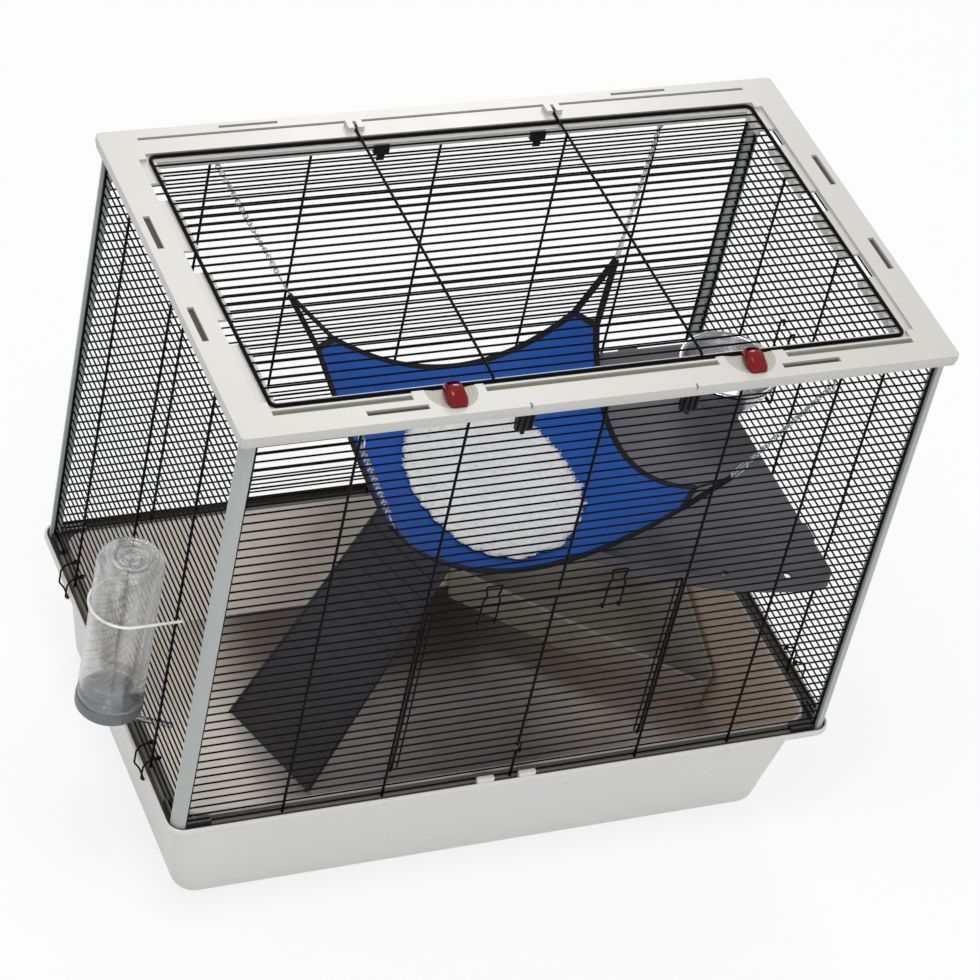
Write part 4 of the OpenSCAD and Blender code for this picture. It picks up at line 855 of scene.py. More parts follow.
# %% Base tray
LENGTH = 780.0
DEPTH = 480.0
TRAY_SECTION = [(54, 4, 18), (49, 4.4, 19), (45.5, 6.2, 20), (43.2, 10, 21), (24.2, 149, 22),
    (23.6, 151.8, 22), (22.8, 152.8, 22), (21.5, 153, 23), (20.5, 152.4, 24), (20.1, 151, 24),
    (20, 149, 25), (19.4, 148.2, 25), (9, 148.15, 18), (3.8, 148.1, 15.5), (3.1, 148.8, 16),
    (2.9, 151.6, 16), (2.3, 152.8, 16.5), (1.4, 153, 17.5), (0.5, 152.4, 18.5), (0, 151, 19),
    (0, 147.5, 19), (0.4, 145.6, 18.5), (1.4, 145, 18), (17.5, 145, 24), (19.3, 144.4, 25),
    (20.6, 142.5, 25), (37.6, 22, 25), (39.6, 10, 24), (42.5, 4.5, 22), (47, 1.6, 19),
    (52, 1, 16), (60, 1, 14), (60.5, 0.2, 14), (61, 0, 14)]
bm = bmesh.new()
skinned(bm, [section_ring(bm, rounded_rectangle(LENGTH - 2 * inset, DEPTH - 2 * inset, radius, z))
    for inset, z, radius in TRAY_SECTION])
tray = piece("tray_shell", bm, tray_plastic, nodes=("base_tray",), smooth=50)
print("tray faces:", len(tray.data.polygons))

# %% [markdown]
# One moulding, five finishes: the rules below find the floor, the inner walls, the gutter and
# the darker strip of the gutter outside its step, by how far in a face lies and which way it
# looks. The floor and the walls get painted light and shade, and the gutter and its strip painted
# shade. All the rest keeps the pale plastic of the outside.

# %% Finishes inside the tray
RIM_INSIDE = 20.2
GUTTER_STEP = 8.8
GUTTER_OUTSIDE = 2.95


def within(c, inset):
    return abs(c.x) < LENGTH / 2 - inset and abs(c.y) < DEPTH / 2 - inset


def inward(c, n):
    return n.x * c.x + n.y * c.y < 0


def inside(c):
    return 3 < c.z < 151.5 and within(c, RIM_INSIDE)


def in_gutter(c, n, inset):
    low = 147.9 < c.z < 151.5 and within(c, GUTTER_OUTSIDE) and not within(c, inset)
    return low and (n.z > 0.3 or inward(c, n))


repaint(tray, tray_floor_painted_light_and_shade, lambda c, n: inside(c) and n.z > 0.5)
repaint(tray, tray_wall_painted_light, lambda c, n: inside(c) and n.z <= 0.5 and inward(c, n))
repaint(tray, groove_painted_shade, lambda c, n: in_gutter(c, n, RIM_INSIDE))
repaint(tray, gutter_painted_shade, lambda c, n: in_gutter(c, n, GUTTER_STEP))
print("finishes on the tray:", len(tray.data.materials))

# %% [markdown]
# Two small tongues stand up from the gutter at the front. A cube with bevelled edges is enough
# for a part 20 mm long: its corners catch the light as a moulding's do.

# %% Tongues on the front rim
def rounded_block(bm, low, high, width, segments=3):
    verts = bmesh.ops.create_cube(bm, size=1.0)["verts"]
    size = [b - a for a, b in zip(low, high)]
    bmesh.ops.scale(bm, vec=size, verts=verts)
    bmesh.ops.translate(bm, vec=[(a + b) / 2 for a, b in zip(low, high)], verts=verts)
    edges = {e for v in verts for e in v.link_edges}
    bmesh.ops.bevel(bm, geom=list(edges), offset=width, offset_type="OFFSET", affect="EDGES",
        segments=segments, profile=0.5, material=-1)


TONGUE_HALF = 10
bm = bmesh.new()
for x in (-32, 17):
    rounded_block(bm, (x - TONGUE_HALF, -237.6, 147.6), (x + TONGUE_HALF, -232, 158), 1.2)
tongues = piece("tray_tongues", bm, tray_plastic)
print("tongue faces:", len(tongues.data.polygons))

# %% [markdown]
# The four posts, the hinge clips and the clips that hold the panels have the right shape in the
# CAD model, so they are copied and their edges rounded. The foot plates that reach in from the
# posts lie in the dark of the gutter, so they are painted nearly black, as painted shade.

# %% Posts and clips
POST_INSIDE_X = 369.5
POST_INSIDE_Y = 219.5
FOOT_TOP = 156


def on_foot(c, n):
    return c.z < FOOT_TOP and (abs(c.x) < POST_INSIDE_X or abs(c.y) < POST_INSIDE_Y)


for side in ("left", "right"):
    for end in ("front", "back"):
        post = dressed("post_%s_%s" % (end, side), 0.7, post_plastic)
        repaint(post, foot_painted_shade, on_foot)
        dressed("panel_clip_%s_%s" % (end, side), 0.4, clip_plastic)
    dressed("roof_hinge_clip_" + side, 0.9, frame_plastic, segments=3)
print("post faces:", len(post.data.polygons))

# %% [markdown]
# The two front clips face the camera, and the real ones have three ribs for the thumb and a
# small point below. These are blocks with rounded edges, set on the clips' faces.

# %% Ribs on the front clips
CLIP_X = 90
RIB_SPACING = 6.5
bm = bmesh.new()
for x in (-CLIP_X, CLIP_X):
    for rib in (-RIB_SPACING, 0, RIB_SPACING):
        rounded_block(bm, (x + rib - 1.3, -237.2, 665), (x + rib + 1.3, -235.2, 688), 0.5, segments=2)
    rounded_block(bm, (x - 2.2, -234.5, 657.5), (x + 2.2, -230.5, 664.5), 1.2, segments=2)
ribs = piece("panel_clip_ribs", bm, clip_plastic)
print("rib faces:", len(ribs.data.polygons))

# %% [markdown]
# The top frame carries the most detail: slots, grooves, the ledge for the roof door and the
# dishes for the latches. Rounding every edge by nearly a millimetre is what makes it read as a
# moulding. Its low faces get painted shade by their height: the dishes, the grooves and the slots.

# %% Top frame
LATCH_X = 163.0
DISH_Y = -205
DISH_R = 28
frame_skin = dressed("top_frame", 0.8, frame_plastic, segments=3, angle=40)


def in_dish(c):
    return math.hypot(abs(c.x) - LATCH_X, c.y - DISH_Y) <= DISH_R


def looks_up(c, n, low, high):
    return low < c.z < high and n.z > 0.3


repaint(frame_skin, dish_painted_shade, lambda c, n: looks_up(c, n, 697.5, 699.7) and in_dish(c))
repaint(frame_skin, groove_painted_shade, lambda c, n: looks_up(c, n, 697.1, 698.2) and not in_dish(c))
repaint(frame_skin, recess_painted_shade, lambda c, n: looks_up(c, n, 696.5, 697.1) and not in_dish(c))
print("frame faces:", len(frame_skin.data.polygons))

# %% [markdown]
# The red latches are small, glossy and faceted: an arched back with a hollow for the thumb, and
# sides that swell in the middle. Each is lofted through nine sections, from back to front. An
# inset of no width gives the hollow's faces an outline of their own, so that they can be pushed
# down and leave straight walls, and a bevel rounds the edges wide enough to catch the light. The
# hollow's floor is painted shade: it gets the black plastic of the clips.

# %% Roof latches
LATCH_Y = -215.2
LATCH_Z = 700.3
HOLLOW_DEPTH = 5.5
HOLLOW_LOW = 704
HOLLOW_HIGH = 709.5
HOLLOW_FRONT = -208
HOLLOW_BACK = -200
LATCH_SECTIONS = [(15.2, 7.4, 5.0, 7.0), (12.6, 8.4, 5.9, 10.0), (9.5, 9.3, 6.6, 12.0),
    (5.0, 10.0, 7.0, 13.2), (0.5, 10.6, 7.3, 13.4), (-4.0, 10.9, 7.4, 12.4),
    (-8.5, 10.7, 7.1, 10.2), (-12.5, 9.6, 6.4, 7.0), (-15.2, 7.8, 5.4, 4.2)]


def latch_section(bm, x, y, half, top, height):
    """One section: half is its width at the swell, top is its width along the back."""
    side = [(half - 0.6, 0), (half, height * 0.12), (half, height * 0.42), (top, height * 0.93),
        (top * 0.4, height)]
    outline = [(-u, v) for u, v in side] + side[::-1]
    return section_ring(bm, [(x + u, LATCH_Y + y, LATCH_Z + v) for u, v in outline])


def latch_shell(bm, x):
    rings = [latch_section(bm, x, *section) for section in LATCH_SECTIONS]
    skinned(bm, rings)
    back = {v for ring in rings[1:4] for v in ring[3:7]}
    hollow = [f for f in bm.faces if all(v in back for v in f.verts)]
    bmesh.ops.inset_region(bm, faces=hollow, thickness=0.0)
    floor_verts = {v for f in hollow for v in f.verts}
    bmesh.ops.translate(bm, vec=(0, 0, -HOLLOW_DEPTH), verts=list(floor_verts))
    bmesh.ops.recalc_face_normals(bm, faces=bm.faces)
    sharp = [e for e in bm.edges if e.is_manifold and e.calc_face_angle(0) > math.radians(28)]
    bmesh.ops.bevel(bm, geom=sharp, offset=0.55, offset_type="OFFSET", affect="EDGES",
        segments=3, profile=0.5, material=-1)


def in_hollow_painted_shade(c, n):
    return HOLLOW_LOW < c.z < HOLLOW_HIGH and n.z > 0.6 and HOLLOW_FRONT < c.y < HOLLOW_BACK


for side, x in (("left", -LATCH_X), ("right", LATCH_X)):
    body = "roof_latch_" + side
    bm = bmesh.new()
    latch_shell(bm, x)
    shell = piece(body + "_shell", bm, latch_plastic, body=body, nodes=(body,), smooth=38)
    # The hollow's floor gets black plastic: painted shade.
    repaint(shell, clip_plastic, in_hollow_painted_shade)
    dressed("roof_latch_pin_" + side, 0.3, bowl_steel)
print("latch faces:", len(shell.data.polygons))

# %% [markdown]
# Each tray catch is a bail of bent wire. It hangs on a bar of the side panel by two curled eyes,
# bows out over the rim, and its lower end is drawn in under the lip. The list holds one leg, as
# distance out from the panel, height from the bar, and how far the leg is pinched in.

# %% Tray catches
CATCH_BAR_Z = bar_z(2)
CATCH_Y = 140
CATCH_HALF = 12
CATCH_EYE_R = 2.35
CATCH_LEG = [(CATCH_EYE_R, 0, 0), (7, -1.6, 0), (12.5, -4, 0), (16, -11, 0), (16, -28, 0),
    (10.5, -34.8, 3)]
for side, sx in (("left", -1), ("right", 1)):
    for end, sy in (("front", -1), ("back", 1)):
        body = "tray_catch_%s_%s" % (side, end)
        legs = [[(sx * (PANEL_X + out), sy * CATCH_Y + s * (CATCH_HALF - pinch), CATCH_BAR_Z + z)
            for out, z, pinch in CATCH_LEG] for s in (-1, 1)]
        bail = bent(legs[0] + legs[1][::-1], 4)
        eyes = [circle((sx * PANEL_X, sy * CATCH_Y + s * CATCH_HALF, CATCH_BAR_Z), CATCH_EYE_R, (0, 2))
            for s in (-1, 1)]
        joined(body + "_wire", [wires(body + "_bail", [bail], 1.1, wire_coat, body=body),
            wires(body + "_eyes", [], 1.1, wire_coat, body=body, loops=eyes)],
            body, (body,))
print("points in a catch:", len(bail))

# %% [markdown]
# Shelf, ladder and pan are thick, matt mouldings with generous edges. Their shapes come from the
# CAD model, holes and rungs and all, so only their edges are rounded here.

# %% Shelf, ladder and litter pan
shelf = dressed("shelf", 1.2, shelf_plastic, segments=3, angle=35)
dressed("ladder", 0.8, ladder_plastic, body="ladder", angle=35)
dressed("litter_pan", 1.2, pan_plastic, body="litter_pan", segments=3, angle=25)
print("shelf faces:", len(shelf.data.polygons))

# %% [markdown]
# The food bowl is spun from one sheet of steel, so it is made the same way here: its section is
# drawn as a few points, and bmesh.ops.spin turns it round the middle. The rim is rolled. The
# section gives distances from the axis and heights from the top of the ring.

# %% Food bowl
def turned(bm, section, centre, steps=64):
    verts = [bm.verts.new((centre[0] + r, centre[1], centre[2] + z)) for r, z in section]
    edges = [bm.edges.new(pair) for pair in zip(verts, verts[1:])]
    bmesh.ops.spin(bm, geom=verts + edges, cent=centre, axis=(0, 0, 1), angle=2 * math.pi,
        steps=steps, use_merge=True, use_duplicate=False)
    bmesh.ops.remove_doubles(bm, verts=bm.verts, dist=0.005)


BOWL = (316.0, 50.0, 452.6)
BOWL_SECTION = [(0, -42), (30, -42), (36, -41.6), (38.6, -40), (40.4, -36), (46, -28),
    (49.6, -20), (52.2, -8), (53.2, -0.6), (55.8, -0.5), (57, 0), (57.2, 0.8), (56.6, 1.3),
    (54, 1.2), (52.6, 0.6), (51.9, -0.6), (50.9, -8), (48.3, -19.6), (44.8, -27.2),
    (39.2, -35.2), (37.6, -38.6), (35.4, -40.4), (30, -40.8), (0, -40.8)]
bm = bmesh.new()
turned(bm, BOWL_SECTION, BOWL)
bowl = piece("food_bowl_spun", bm, bowl_steel, body="food_bowl", nodes=("food_bowl",),
    smooth=60)
print("bowl faces:", len(bowl.data.polygons))

# %% [markdown]
# The bowl stands in a ring of black wire. Two arms run from the ring to the wall, and a second
# wire hooks over a bar of the wall, comes down past the arms and keeps the ring level from below.
# It doesn't touch the bar: it keeps away by the radius of both wires and a small gap.

# %% Bowl ring
RING_Z = 450.8
RING_R = 55.5
RING_WIRE_R = 1.5
ARM_R = 1.3
ARM_Y = 13
HANG_GAP = 0.3
HOOK_UP = 45
HOOK_DOWN = 8
BRACE_FOOT = 52
to_wall = PANEL_X - BOWL[0]
near = to_wall - LEVEL_R - HANG_GAP - ARM_R
beyond = to_wall + LEVEL_R + HANG_GAP + ARM_R
over = HOOK_UP + LEVEL_R + HANG_GAP + ARM_R


def arm_point(out, s, up):
    return (BOWL[0] + out, BOWL[1] + s * ARM_Y, RING_Z + up)


meet = math.sqrt(RING_R * RING_R - ARM_Y * ARM_Y)
runs = [[arm_point(meet, s, 0), arm_point(near, s, 0)] for s in (-1, 1)]
brace = []
for s in (-1, 1):
    stand = [arm_point(beyond, s, over - HOOK_DOWN), arm_point(beyond, s, over),
        arm_point(near, s, over), arm_point(near, s, -BRACE_FOOT)]
    brace += stand[::-s]
runs.append(bent(brace, 1.8))
hoop = circle((BOWL[0], BOWL[1], RING_Z), RING_R, (0, 1), 64)
joined("bowl_ring_wire", [
    wires("ring_hoop", [], RING_WIRE_R, wire_coat, loops=[hoop], sides=12),
    wires("ring_arms", runs, ARM_R, wire_coat)], "cage", ("bowl_ring",))
print("arms are from the wall:", round(to_wall - near, 2))

# %% [markdown]
# The bottle hangs upside down, so its domed base is at the top. It is a thin shell with an inside
# and an outside, turned from one section: the dome has stepped rings, and the neck goes down
# into the cap.

# %% Water bottle
BOTTLE = (-427.0, -113.0)
CAP_Z = 227.8
BOTTLE_FOOT = 14
OUTSIDE = [(31, -8.9), (31, 0.3), (33.6, 0.5), (34.8, 1.4), (35, 3), (35, 12), (34.4, 13.2),
    (34.4, 16.5), (35, 18), (35, 183), (34.6, 187), (33, 191), (30.6, 193.6), (29.4, 194.4),
    (28.8, 196), (27, 196.9), (24.8, 196.9), (23.6, 195.6), (22.6, 194.2), (19, 193.6),
    (17.6, 194.8), (15.4, 195), (14.2, 193.4), (9, 192.6), (7.8, 193.6), (5.6, 193.6),
    (4.6, 192.4), (0, 192.2)]
INSIDE = [(0, 190.8), (5, 191), (6.6, 192), (8.6, 191.2), (14.8, 192), (16.6, 193.4),
    (18.6, 192.2), (23, 192.8), (25, 195.4), (26.6, 195.4), (27.6, 194.6), (28.4, 193.2),
    (30, 192), (31.8, 190), (33.2, 186.6), (33.5, 183), (33.5, 18), (33, 16.5), (33, 13.2),
    (33.5, 12), (33.5, 3), (33, 2), (29.6, 1.8), (29.5, -8.9)]
bm = bmesh.new()
turned(bm, OUTSIDE + INSIDE + [OUTSIDE[0]], (BOTTLE[0], BOTTLE[1], CAP_Z + BOTTLE_FOOT), steps=72)
bottle = piece("bottle_shell", bm, bottle_clear, nodes=("bottle_body",), smooth=50)
print("bottle faces:", len(bottle.data.polygons))

# %% [markdown]
# The cap is a screw cap: its outside is ribbed for grip, which is made by turning a smooth section
# and then moving every third column of its skirt inwards.

# %% Bottle cap and seal
CAP_SECTION = [(3.56, 3), (3.56, -8), (9.6, -8), (10.6, -7.4), (11, -6.2), (11, -1), (12, 0),
    (33.8, 0), (35.3, 0.6), (36, 2), (36, 12.4), (35.6, 13.6), (34.4, 14), (31.8, 14),
    (31.3, 13.4), (31.3, 3), (3.56, 3)]
COLUMNS = 144
RIB_DEPTH = 0.7
SKIRT_R = 35.1
bm = bmesh.new()
turned(bm, CAP_SECTION, (BOTTLE[0], BOTTLE[1], CAP_Z), steps=COLUMNS)
for v in bm.verts:
    dx, dy = v.co.x - BOTTLE[0], v.co.y - BOTTLE[1]
    reach = math.hypot(dx, dy)
    column = round(math.degrees(math.atan2(dy, dx)) / (360 / COLUMNS))
    if reach > SKIRT_R and 1.5 < v.co.z - CAP_Z < 12.8 and column % 3 == 0:
        v.co.x -= dx / reach * RIB_DEPTH
        v.co.y -= dy / reach * RIB_DEPTH
cap = piece("bottle_cap_ribbed", bm, cap_plastic, nodes=("bottle_cap",), smooth=25)
dressed("bottle_seal", 0.2, seal_rubber)
print("cap faces:", len(cap.data.polygons))

# %% [markdown]
# The spout is a steel tube, bent once, with its end rolled in to hold the ball. The curve gives
# the tube, and the end is turned as a section of its own along the same line.

# %% Spout and ball
SPOUT_Z = 214.77
SPOUT_LENGTH = 83.72
SPOUT_R = 3.5
BALL_R = 2.3
TILT = math.radians(25.6)
SPOUT_LIP = [(2.05, -0.8), (3.1, -1.0), (3.5, -0.6), (3.5, -0.2), (3.3, 0.1), (2.7, 0.15),
    (2.1, 0.0), (2.05, -0.8)]
along = Vector((math.cos(TILT), 0, -math.sin(TILT)))
elbow = Vector((BOTTLE[0], BOTTLE[1], SPOUT_Z))
tip = elbow + along * SPOUT_LENGTH
tube_path = bent([(BOTTLE[0], BOTTLE[1], CAP_Z + 3), tuple(elbow), tuple(tip - along * 0.5)], 9, 8)
tube = wires("bottle_spout_tube", [tube_path], SPOUT_R, bowl_steel, sides=20)
bm = bmesh.new()
turned(bm, SPOUT_LIP, (0, 0, 0), steps=32)
turn = along.to_track_quat("Z", "Y").to_matrix().to_4x4()
bmesh.ops.transform(bm, matrix=Matrix.Translation(tip) @ turn, verts=bm.verts)
rolled = piece("spout_lip", bm, bowl_steel)
joined("bottle_spout_steel", [tube, rolled], "cage", ("bottle_spout",))
bm = bmesh.new()
bmesh.ops.create_uvsphere(bm, u_segments=24, v_segments=16, radius=BALL_R)
bmesh.ops.translate(bm, vec=tip - along * 2.2, verts=bm.verts)
piece("spout_ball_steel", bm, bowl_steel, body="spout_ball", nodes=("spout_ball",), smooth=80)
print("spout tip:", [round(c, 1) for c in tip])

# %% [markdown]
# A hoop of white wire holds the bottle to the cage. It goes round the outside of the bottle, runs
# in through the wall on both sides, and hooks down over a bar.

# %% Bottle hoop
HOOP_Z = 372.1
HOOP_R = 36.8
HOOP_WIRE_R = 1.5
HOOP_HOOK = 9
inside_x = -PANEL_X + LEVEL_R + HANG_GAP + HOOP_WIRE_R
half_turn = [(BOTTLE[0] + HOOP_R * math.cos(turn), BOTTLE[1] + HOOP_R * math.sin(turn), HOOP_Z)
    for turn in [math.radians(90 + 180 * i / 32) for i in range(33)]]
ends = []
for s in (1, -1):
    y = BOTTLE[1] + s * HOOP_R
    ends.append(bent([(inside_x, y, HOOP_Z - HOOP_HOOK), (inside_x, y, HOOP_Z),
        (BOTTLE[0] + 2, y, HOOP_Z)], 2.5))
wires("bottle_hoop_wire", [ends[0] + half_turn + ends[1][::-1]], HOOP_WIRE_R, white_coat,
    nodes=("bottle_hoop",), sides=14)
print("hoop hooks at x:", round(inside_x, 1))

# %% [markdown]
# ## The hammock
# The hammock is one sheet of blue cloth with its four corners cut off. It hangs by its corners, so
# its edges pull into curves and its middle sags. Nine points fix that surface: the ends and the
# middle of each edge, and the centre. A quadratic patch through them is smooth, and every part of
# the hammock is placed on it by two numbers, u across and v from front to back.

# %% The surface of the cloth
NINE = (((-171, -168, 478), (9, -150, 382), (203, -158, 476)),
    ((-140, 6, 430), (12, 0, 382), (178, 12, 388)),
    ((-146, 165, 478), (34, 152, 404), (200, 168, 476)))
CUT = 2 / 12
KEEP = 1 - CUT
CLOTH_MID = -1.4


def weights(t):
    return (t * (t - 1) / 2, 1 - t * t, t * (t + 1) / 2)


def on_cloth(u, v, lift=0.0):
    a, b = weights(u), weights(v)
    p = Vector((0, 0, lift))
    for j in range(3):
        for i in range(3):
            p += Vector(NINE[j][i]) * a[i] * b[j]
    return p


print("a low point of the patch:", [round(c) for c in on_cloth(0.05, -0.4)])

# %% [markdown]
# Cloth that is pulled at its corners folds: shallow creases run from each corner towards the
# middle and die out. The function gives the height of those creases, plus one slow swell, at any
# place on the sheet. It stays within a few millimetres, so the cloth keeps to its CAD place.

# %% Creases
def crease(u, v):
    height = 0.0
    for cu, cv, phase in ((-1, -1, 0.4), (1, -1, 1.7), (-1, 1, 2.9), (1, 1, 4.1)):
        du, dv = (u - cu) * -cu, (v - cv) * -cv
        reach = math.hypot(du, dv)
        angle = math.atan2(dv, du)
        fade = math.exp(-((reach - 0.45) / 0.4) ** 2)
        height += fade * (math.sin(angle * 13 + phase) * 0.9 + math.sin(angle * 23 + 2 * phase) * 0.4)
    return height + 0.8 * math.sin(3.1 * u + 1.2) * math.sin(2.7 * v + 0.5)


print("crease height half way to a corner:", round(crease(-0.5, -0.5), 2))

# %% [markdown]
# The sheet starts flat, as a grid in u and v whose corners bisect_plane cuts off. Its UV map is
# made while it is flat, in millimetres, so the weave isn't stretched by the folds. Then every
# point goes to its place on the patch, and Solidify gives the cloth its thickness.

# %% Cloth
def sheet_grid(bm, count=56):
    bmesh.ops.create_grid(bm, x_segments=count, y_segments=count, size=1.0)
    for su in (-1, 1):
        for sv in (-1, 1):
            bmesh.ops.bisect_plane(bm, geom=bm.verts[:] + bm.edges[:] + bm.faces[:],
                plane_co=(su, sv * KEEP, 0), plane_no=(su, sv, 0), clear_outer=True)


HALF_WIDE = 175
HALF_LONG = 165
bm = bmesh.new()
sheet_grid(bm)
layer = bm.loops.layers.uv.new("sheet")
for face in bm.faces:
    for loop in face.loops:
        loop[layer].uv = (loop.vert.co.x * HALF_WIDE, loop.vert.co.y * HALF_LONG)
for v in bm.verts:
    u, w = v.co.x, v.co.y
    v.co = on_cloth(u, w, CLOTH_MID + crease(u, w) * (1 - max(abs(u), abs(w)) ** 6))
bmesh.ops.scale(bm, vec=(MM, MM, MM), verts=bm.verts)
mesh = bpy.data.meshes.new("cloth_flat")
bm.to_mesh(mesh)
bm.free()
helper = bpy.data.objects.new("cloth_flat", mesh)
bpy.context.scene.collection.objects.link(helper)
thick = helper.modifiers.new("thickness", "SOLIDIFY")
thick.thickness = 1.1 * MM
thick.offset = 0.0
cloth = link("hammock_sheet", baked(helper), blue_cloth, "cage", ("hammock_cloth",), 60)
bpy.data.objects.remove(helper)
print("cloth faces:", len(cloth.data.polygons))

# %% [markdown]
# Tape and straps are flat bands that follow a path and may twist. `tape` sets the same thin
# section across the path at every point, turned so that its long side lies along a given
# direction, and skins them. Each vertex notes how far round and how far along the band it is,
# and the UV map is made from those notes, in millimetres, for the weave.

# %% Helper: flat tape along a path
TAPE_SECTION = [(-1, -0.6), (-0.9, -1), (0.9, -1), (1, -0.6), (1, 0.6), (0.9, 1), (-0.9, 1), (-1, 0.6)]


def tape(bm, path, across, width, thickness, uv_layer):
    rings = []
    notes = {}
    run = 0.0
    for i, p in enumerate(path):
        ahead = (path[min(i + 1, len(path) - 1)] - path[max(i - 1, 0)]).normalized()
        side = across[i] - ahead * across[i].dot(ahead)
        side.normalize()
        up = side.cross(ahead).normalized()
        run += (p - path[i - 1]).length if i else 0.0
        ring = section_ring(bm, [p + side * width / 2 * a + up * thickness / 2 * b
            for a, b in TAPE_SECTION])
        notes.update({v: (k * width / 4, run) for k, v in enumerate(ring)})
        rings.append(ring)
    skinned(bm, rings)
    for face in {f for v in notes for f in v.link_faces if len(f.verts) == 4}:
        wraps = max(notes[v][0] for v in face.verts) > 1.5 * width
        for loop in face.loops:
            around, length = notes[loop.vert]
            loop[uv_layer].uv = (2 * width if wraps and around == 0 else around, length)


print("points in a tape's section:", len(TAPE_SECTION))

# %% [markdown]
# Black tape is folded over the edge of the cloth and sewn down. Four bands run along the four
# edges, and four short ones across the cut corners.

# %% Binding
BINDING_WIDE = 7.0
EDGE_STEPS = 40
CORNER_STEPS = 8
bm = bmesh.new()
layer = bm.loops.layers.uv.new("tape")
for edge, (du, dv) in enumerate(((0, 1), (-1, 0), (0, -1), (1, 0))):
    path = []
    across_path = []
    for i in range(EDGE_STEPS + 1):
        t = -KEEP + 2 * KEEP * i / EDGE_STEPS
        u, v = ((t, -1), (1, t), (-t, 1), (-1, -t))[edge]
        here = on_cloth(u, v, CLOTH_MID)
        path.append(here)
        across_path.append(on_cloth(u + du * 0.02, v + dv * 0.02, CLOTH_MID) - here)
    tape(bm, path, across_path, BINDING_WIDE, 2.6, layer)
for su in (-1, 1):
    for sv in (-1, 1):
        a, b = on_cloth(su, sv * KEEP, CLOTH_MID), on_cloth(su * KEEP, sv, CLOTH_MID)
        to_middle = on_cloth(su * 0.8, sv * 0.8, CLOTH_MID) - (a + b) / 2
        path = [a.lerp(b, i / CORNER_STEPS) for i in range(CORNER_STEPS + 1)]
        tape(bm, path, [to_middle] * len(path), BINDING_WIDE, 2.8, layer)
binding = piece("hammock_binding", bm, webbing)
print("binding faces:", len(binding.data.polygons))

# %% [markdown]
# At each corner two straps run on from the binding to one point, where the chain hooks on. They
# leave a triangle open between them and the cut edge of the cloth.

# %% Straps
APEX = {("left", "front"): (-180, -185, 502), ("right", "front"): (206, -174, 502),
    ("left", "back"): (-165, 186, 502), ("right", "back"): (226, 191, 500)}
bm = bmesh.new()
layer = bm.loops.layers.uv.new("tape")
for (side, end), point in APEX.items():
    su = -1 if side == "left" else 1
    sv = -1 if end == "front" else 1
    for (u, v), (iu, iv) in (((1, KEEP), (1, KEEP - 0.1)), ((KEEP, 1), (KEEP - 0.1, 1))):
        start = on_cloth(su * u, sv * v, CLOTH_MID)
        inner = on_cloth(su * iu, sv * iv, CLOTH_MID)
        path = bent([tuple(inner), tuple(start), point], 14, 6)
        to_middle = on_cloth(su * 0.8, sv * 0.8, CLOTH_MID) - start
        tape(bm, path, [to_middle] * len(path), 7.6, 1.8, layer)
bands = piece("hammock_strap_bands", bm, webbing, nodes=("hammock_straps",))
print("strap faces:", len(bands.data.polygons))

# %% [markdown]
# The pad in the middle is fleece: a thick white pile with a ragged edge. Its body is a turned disc
# whose points are then laid on the cloth, thick in the middle and rolled down at the edge, and
# random numbers from a fixed seed make the edge and the top uneven.

# %% Fleece pad
FLEECE_U = 0.62
FLEECE_V = 0.76
FLEECE_MID = -0.13
FLEECE_COLUMNS = 90
FLEECE_SECTION = [(0, 6.2), (0.15, 6.3), (0.3, 6.2), (0.45, 6.3), (0.6, 6.2), (0.72, 6.0),
    (0.82, 5.7), (0.9, 5.0), (0.95, 4.2), (0.985, 3.0), (1.0, 1.8), (0.99, 0.9), (0.96, 0.6),
    (0.5, 0.6), (0, 0.6)]
random.seed(7)
ragged = [random.uniform(-0.035, 0.035) for _ in range(FLEECE_COLUMNS)]


def fleece_place(r, angle, lift):
    k = angle / (2 * math.pi) * FLEECE_COLUMNS
    this, following = ragged[int(k) % FLEECE_COLUMNS], ragged[(int(k) + 1) % FLEECE_COLUMNS]
    uneven = this * (1 - k % 1) + following * (k % 1)
    reach = r * (1 + uneven * r ** 4)
    return on_cloth(FLEECE_U * reach * math.cos(angle),
        FLEECE_MID + FLEECE_V * reach * math.sin(angle), lift)


bm = bmesh.new()
turned(bm, FLEECE_SECTION, (0, 0, 0), steps=FLEECE_COLUMNS)
for v in bm.verts:
    r = math.hypot(v.co.x, v.co.y)
    angle = math.atan2(v.co.y, v.co.x) % (2 * math.pi)
    lift = v.co.z
    if lift > 0.7:
        lift += random.uniform(-0.45, 0.45)
    v.co = fleece_place(r, angle, lift)
fleece = piece("hammock_fleece_pad", bm, white_fleece, nodes=("hammock_fleece",), smooth=80)
print("fleece faces:", len(fleece.data.polygons))

# %% [markdown]
# Fibres stand out from the pad, half of them at its edge. Each tuft is a short, bent, tapering
# wire with only a few faces, because there are more than two thousand.

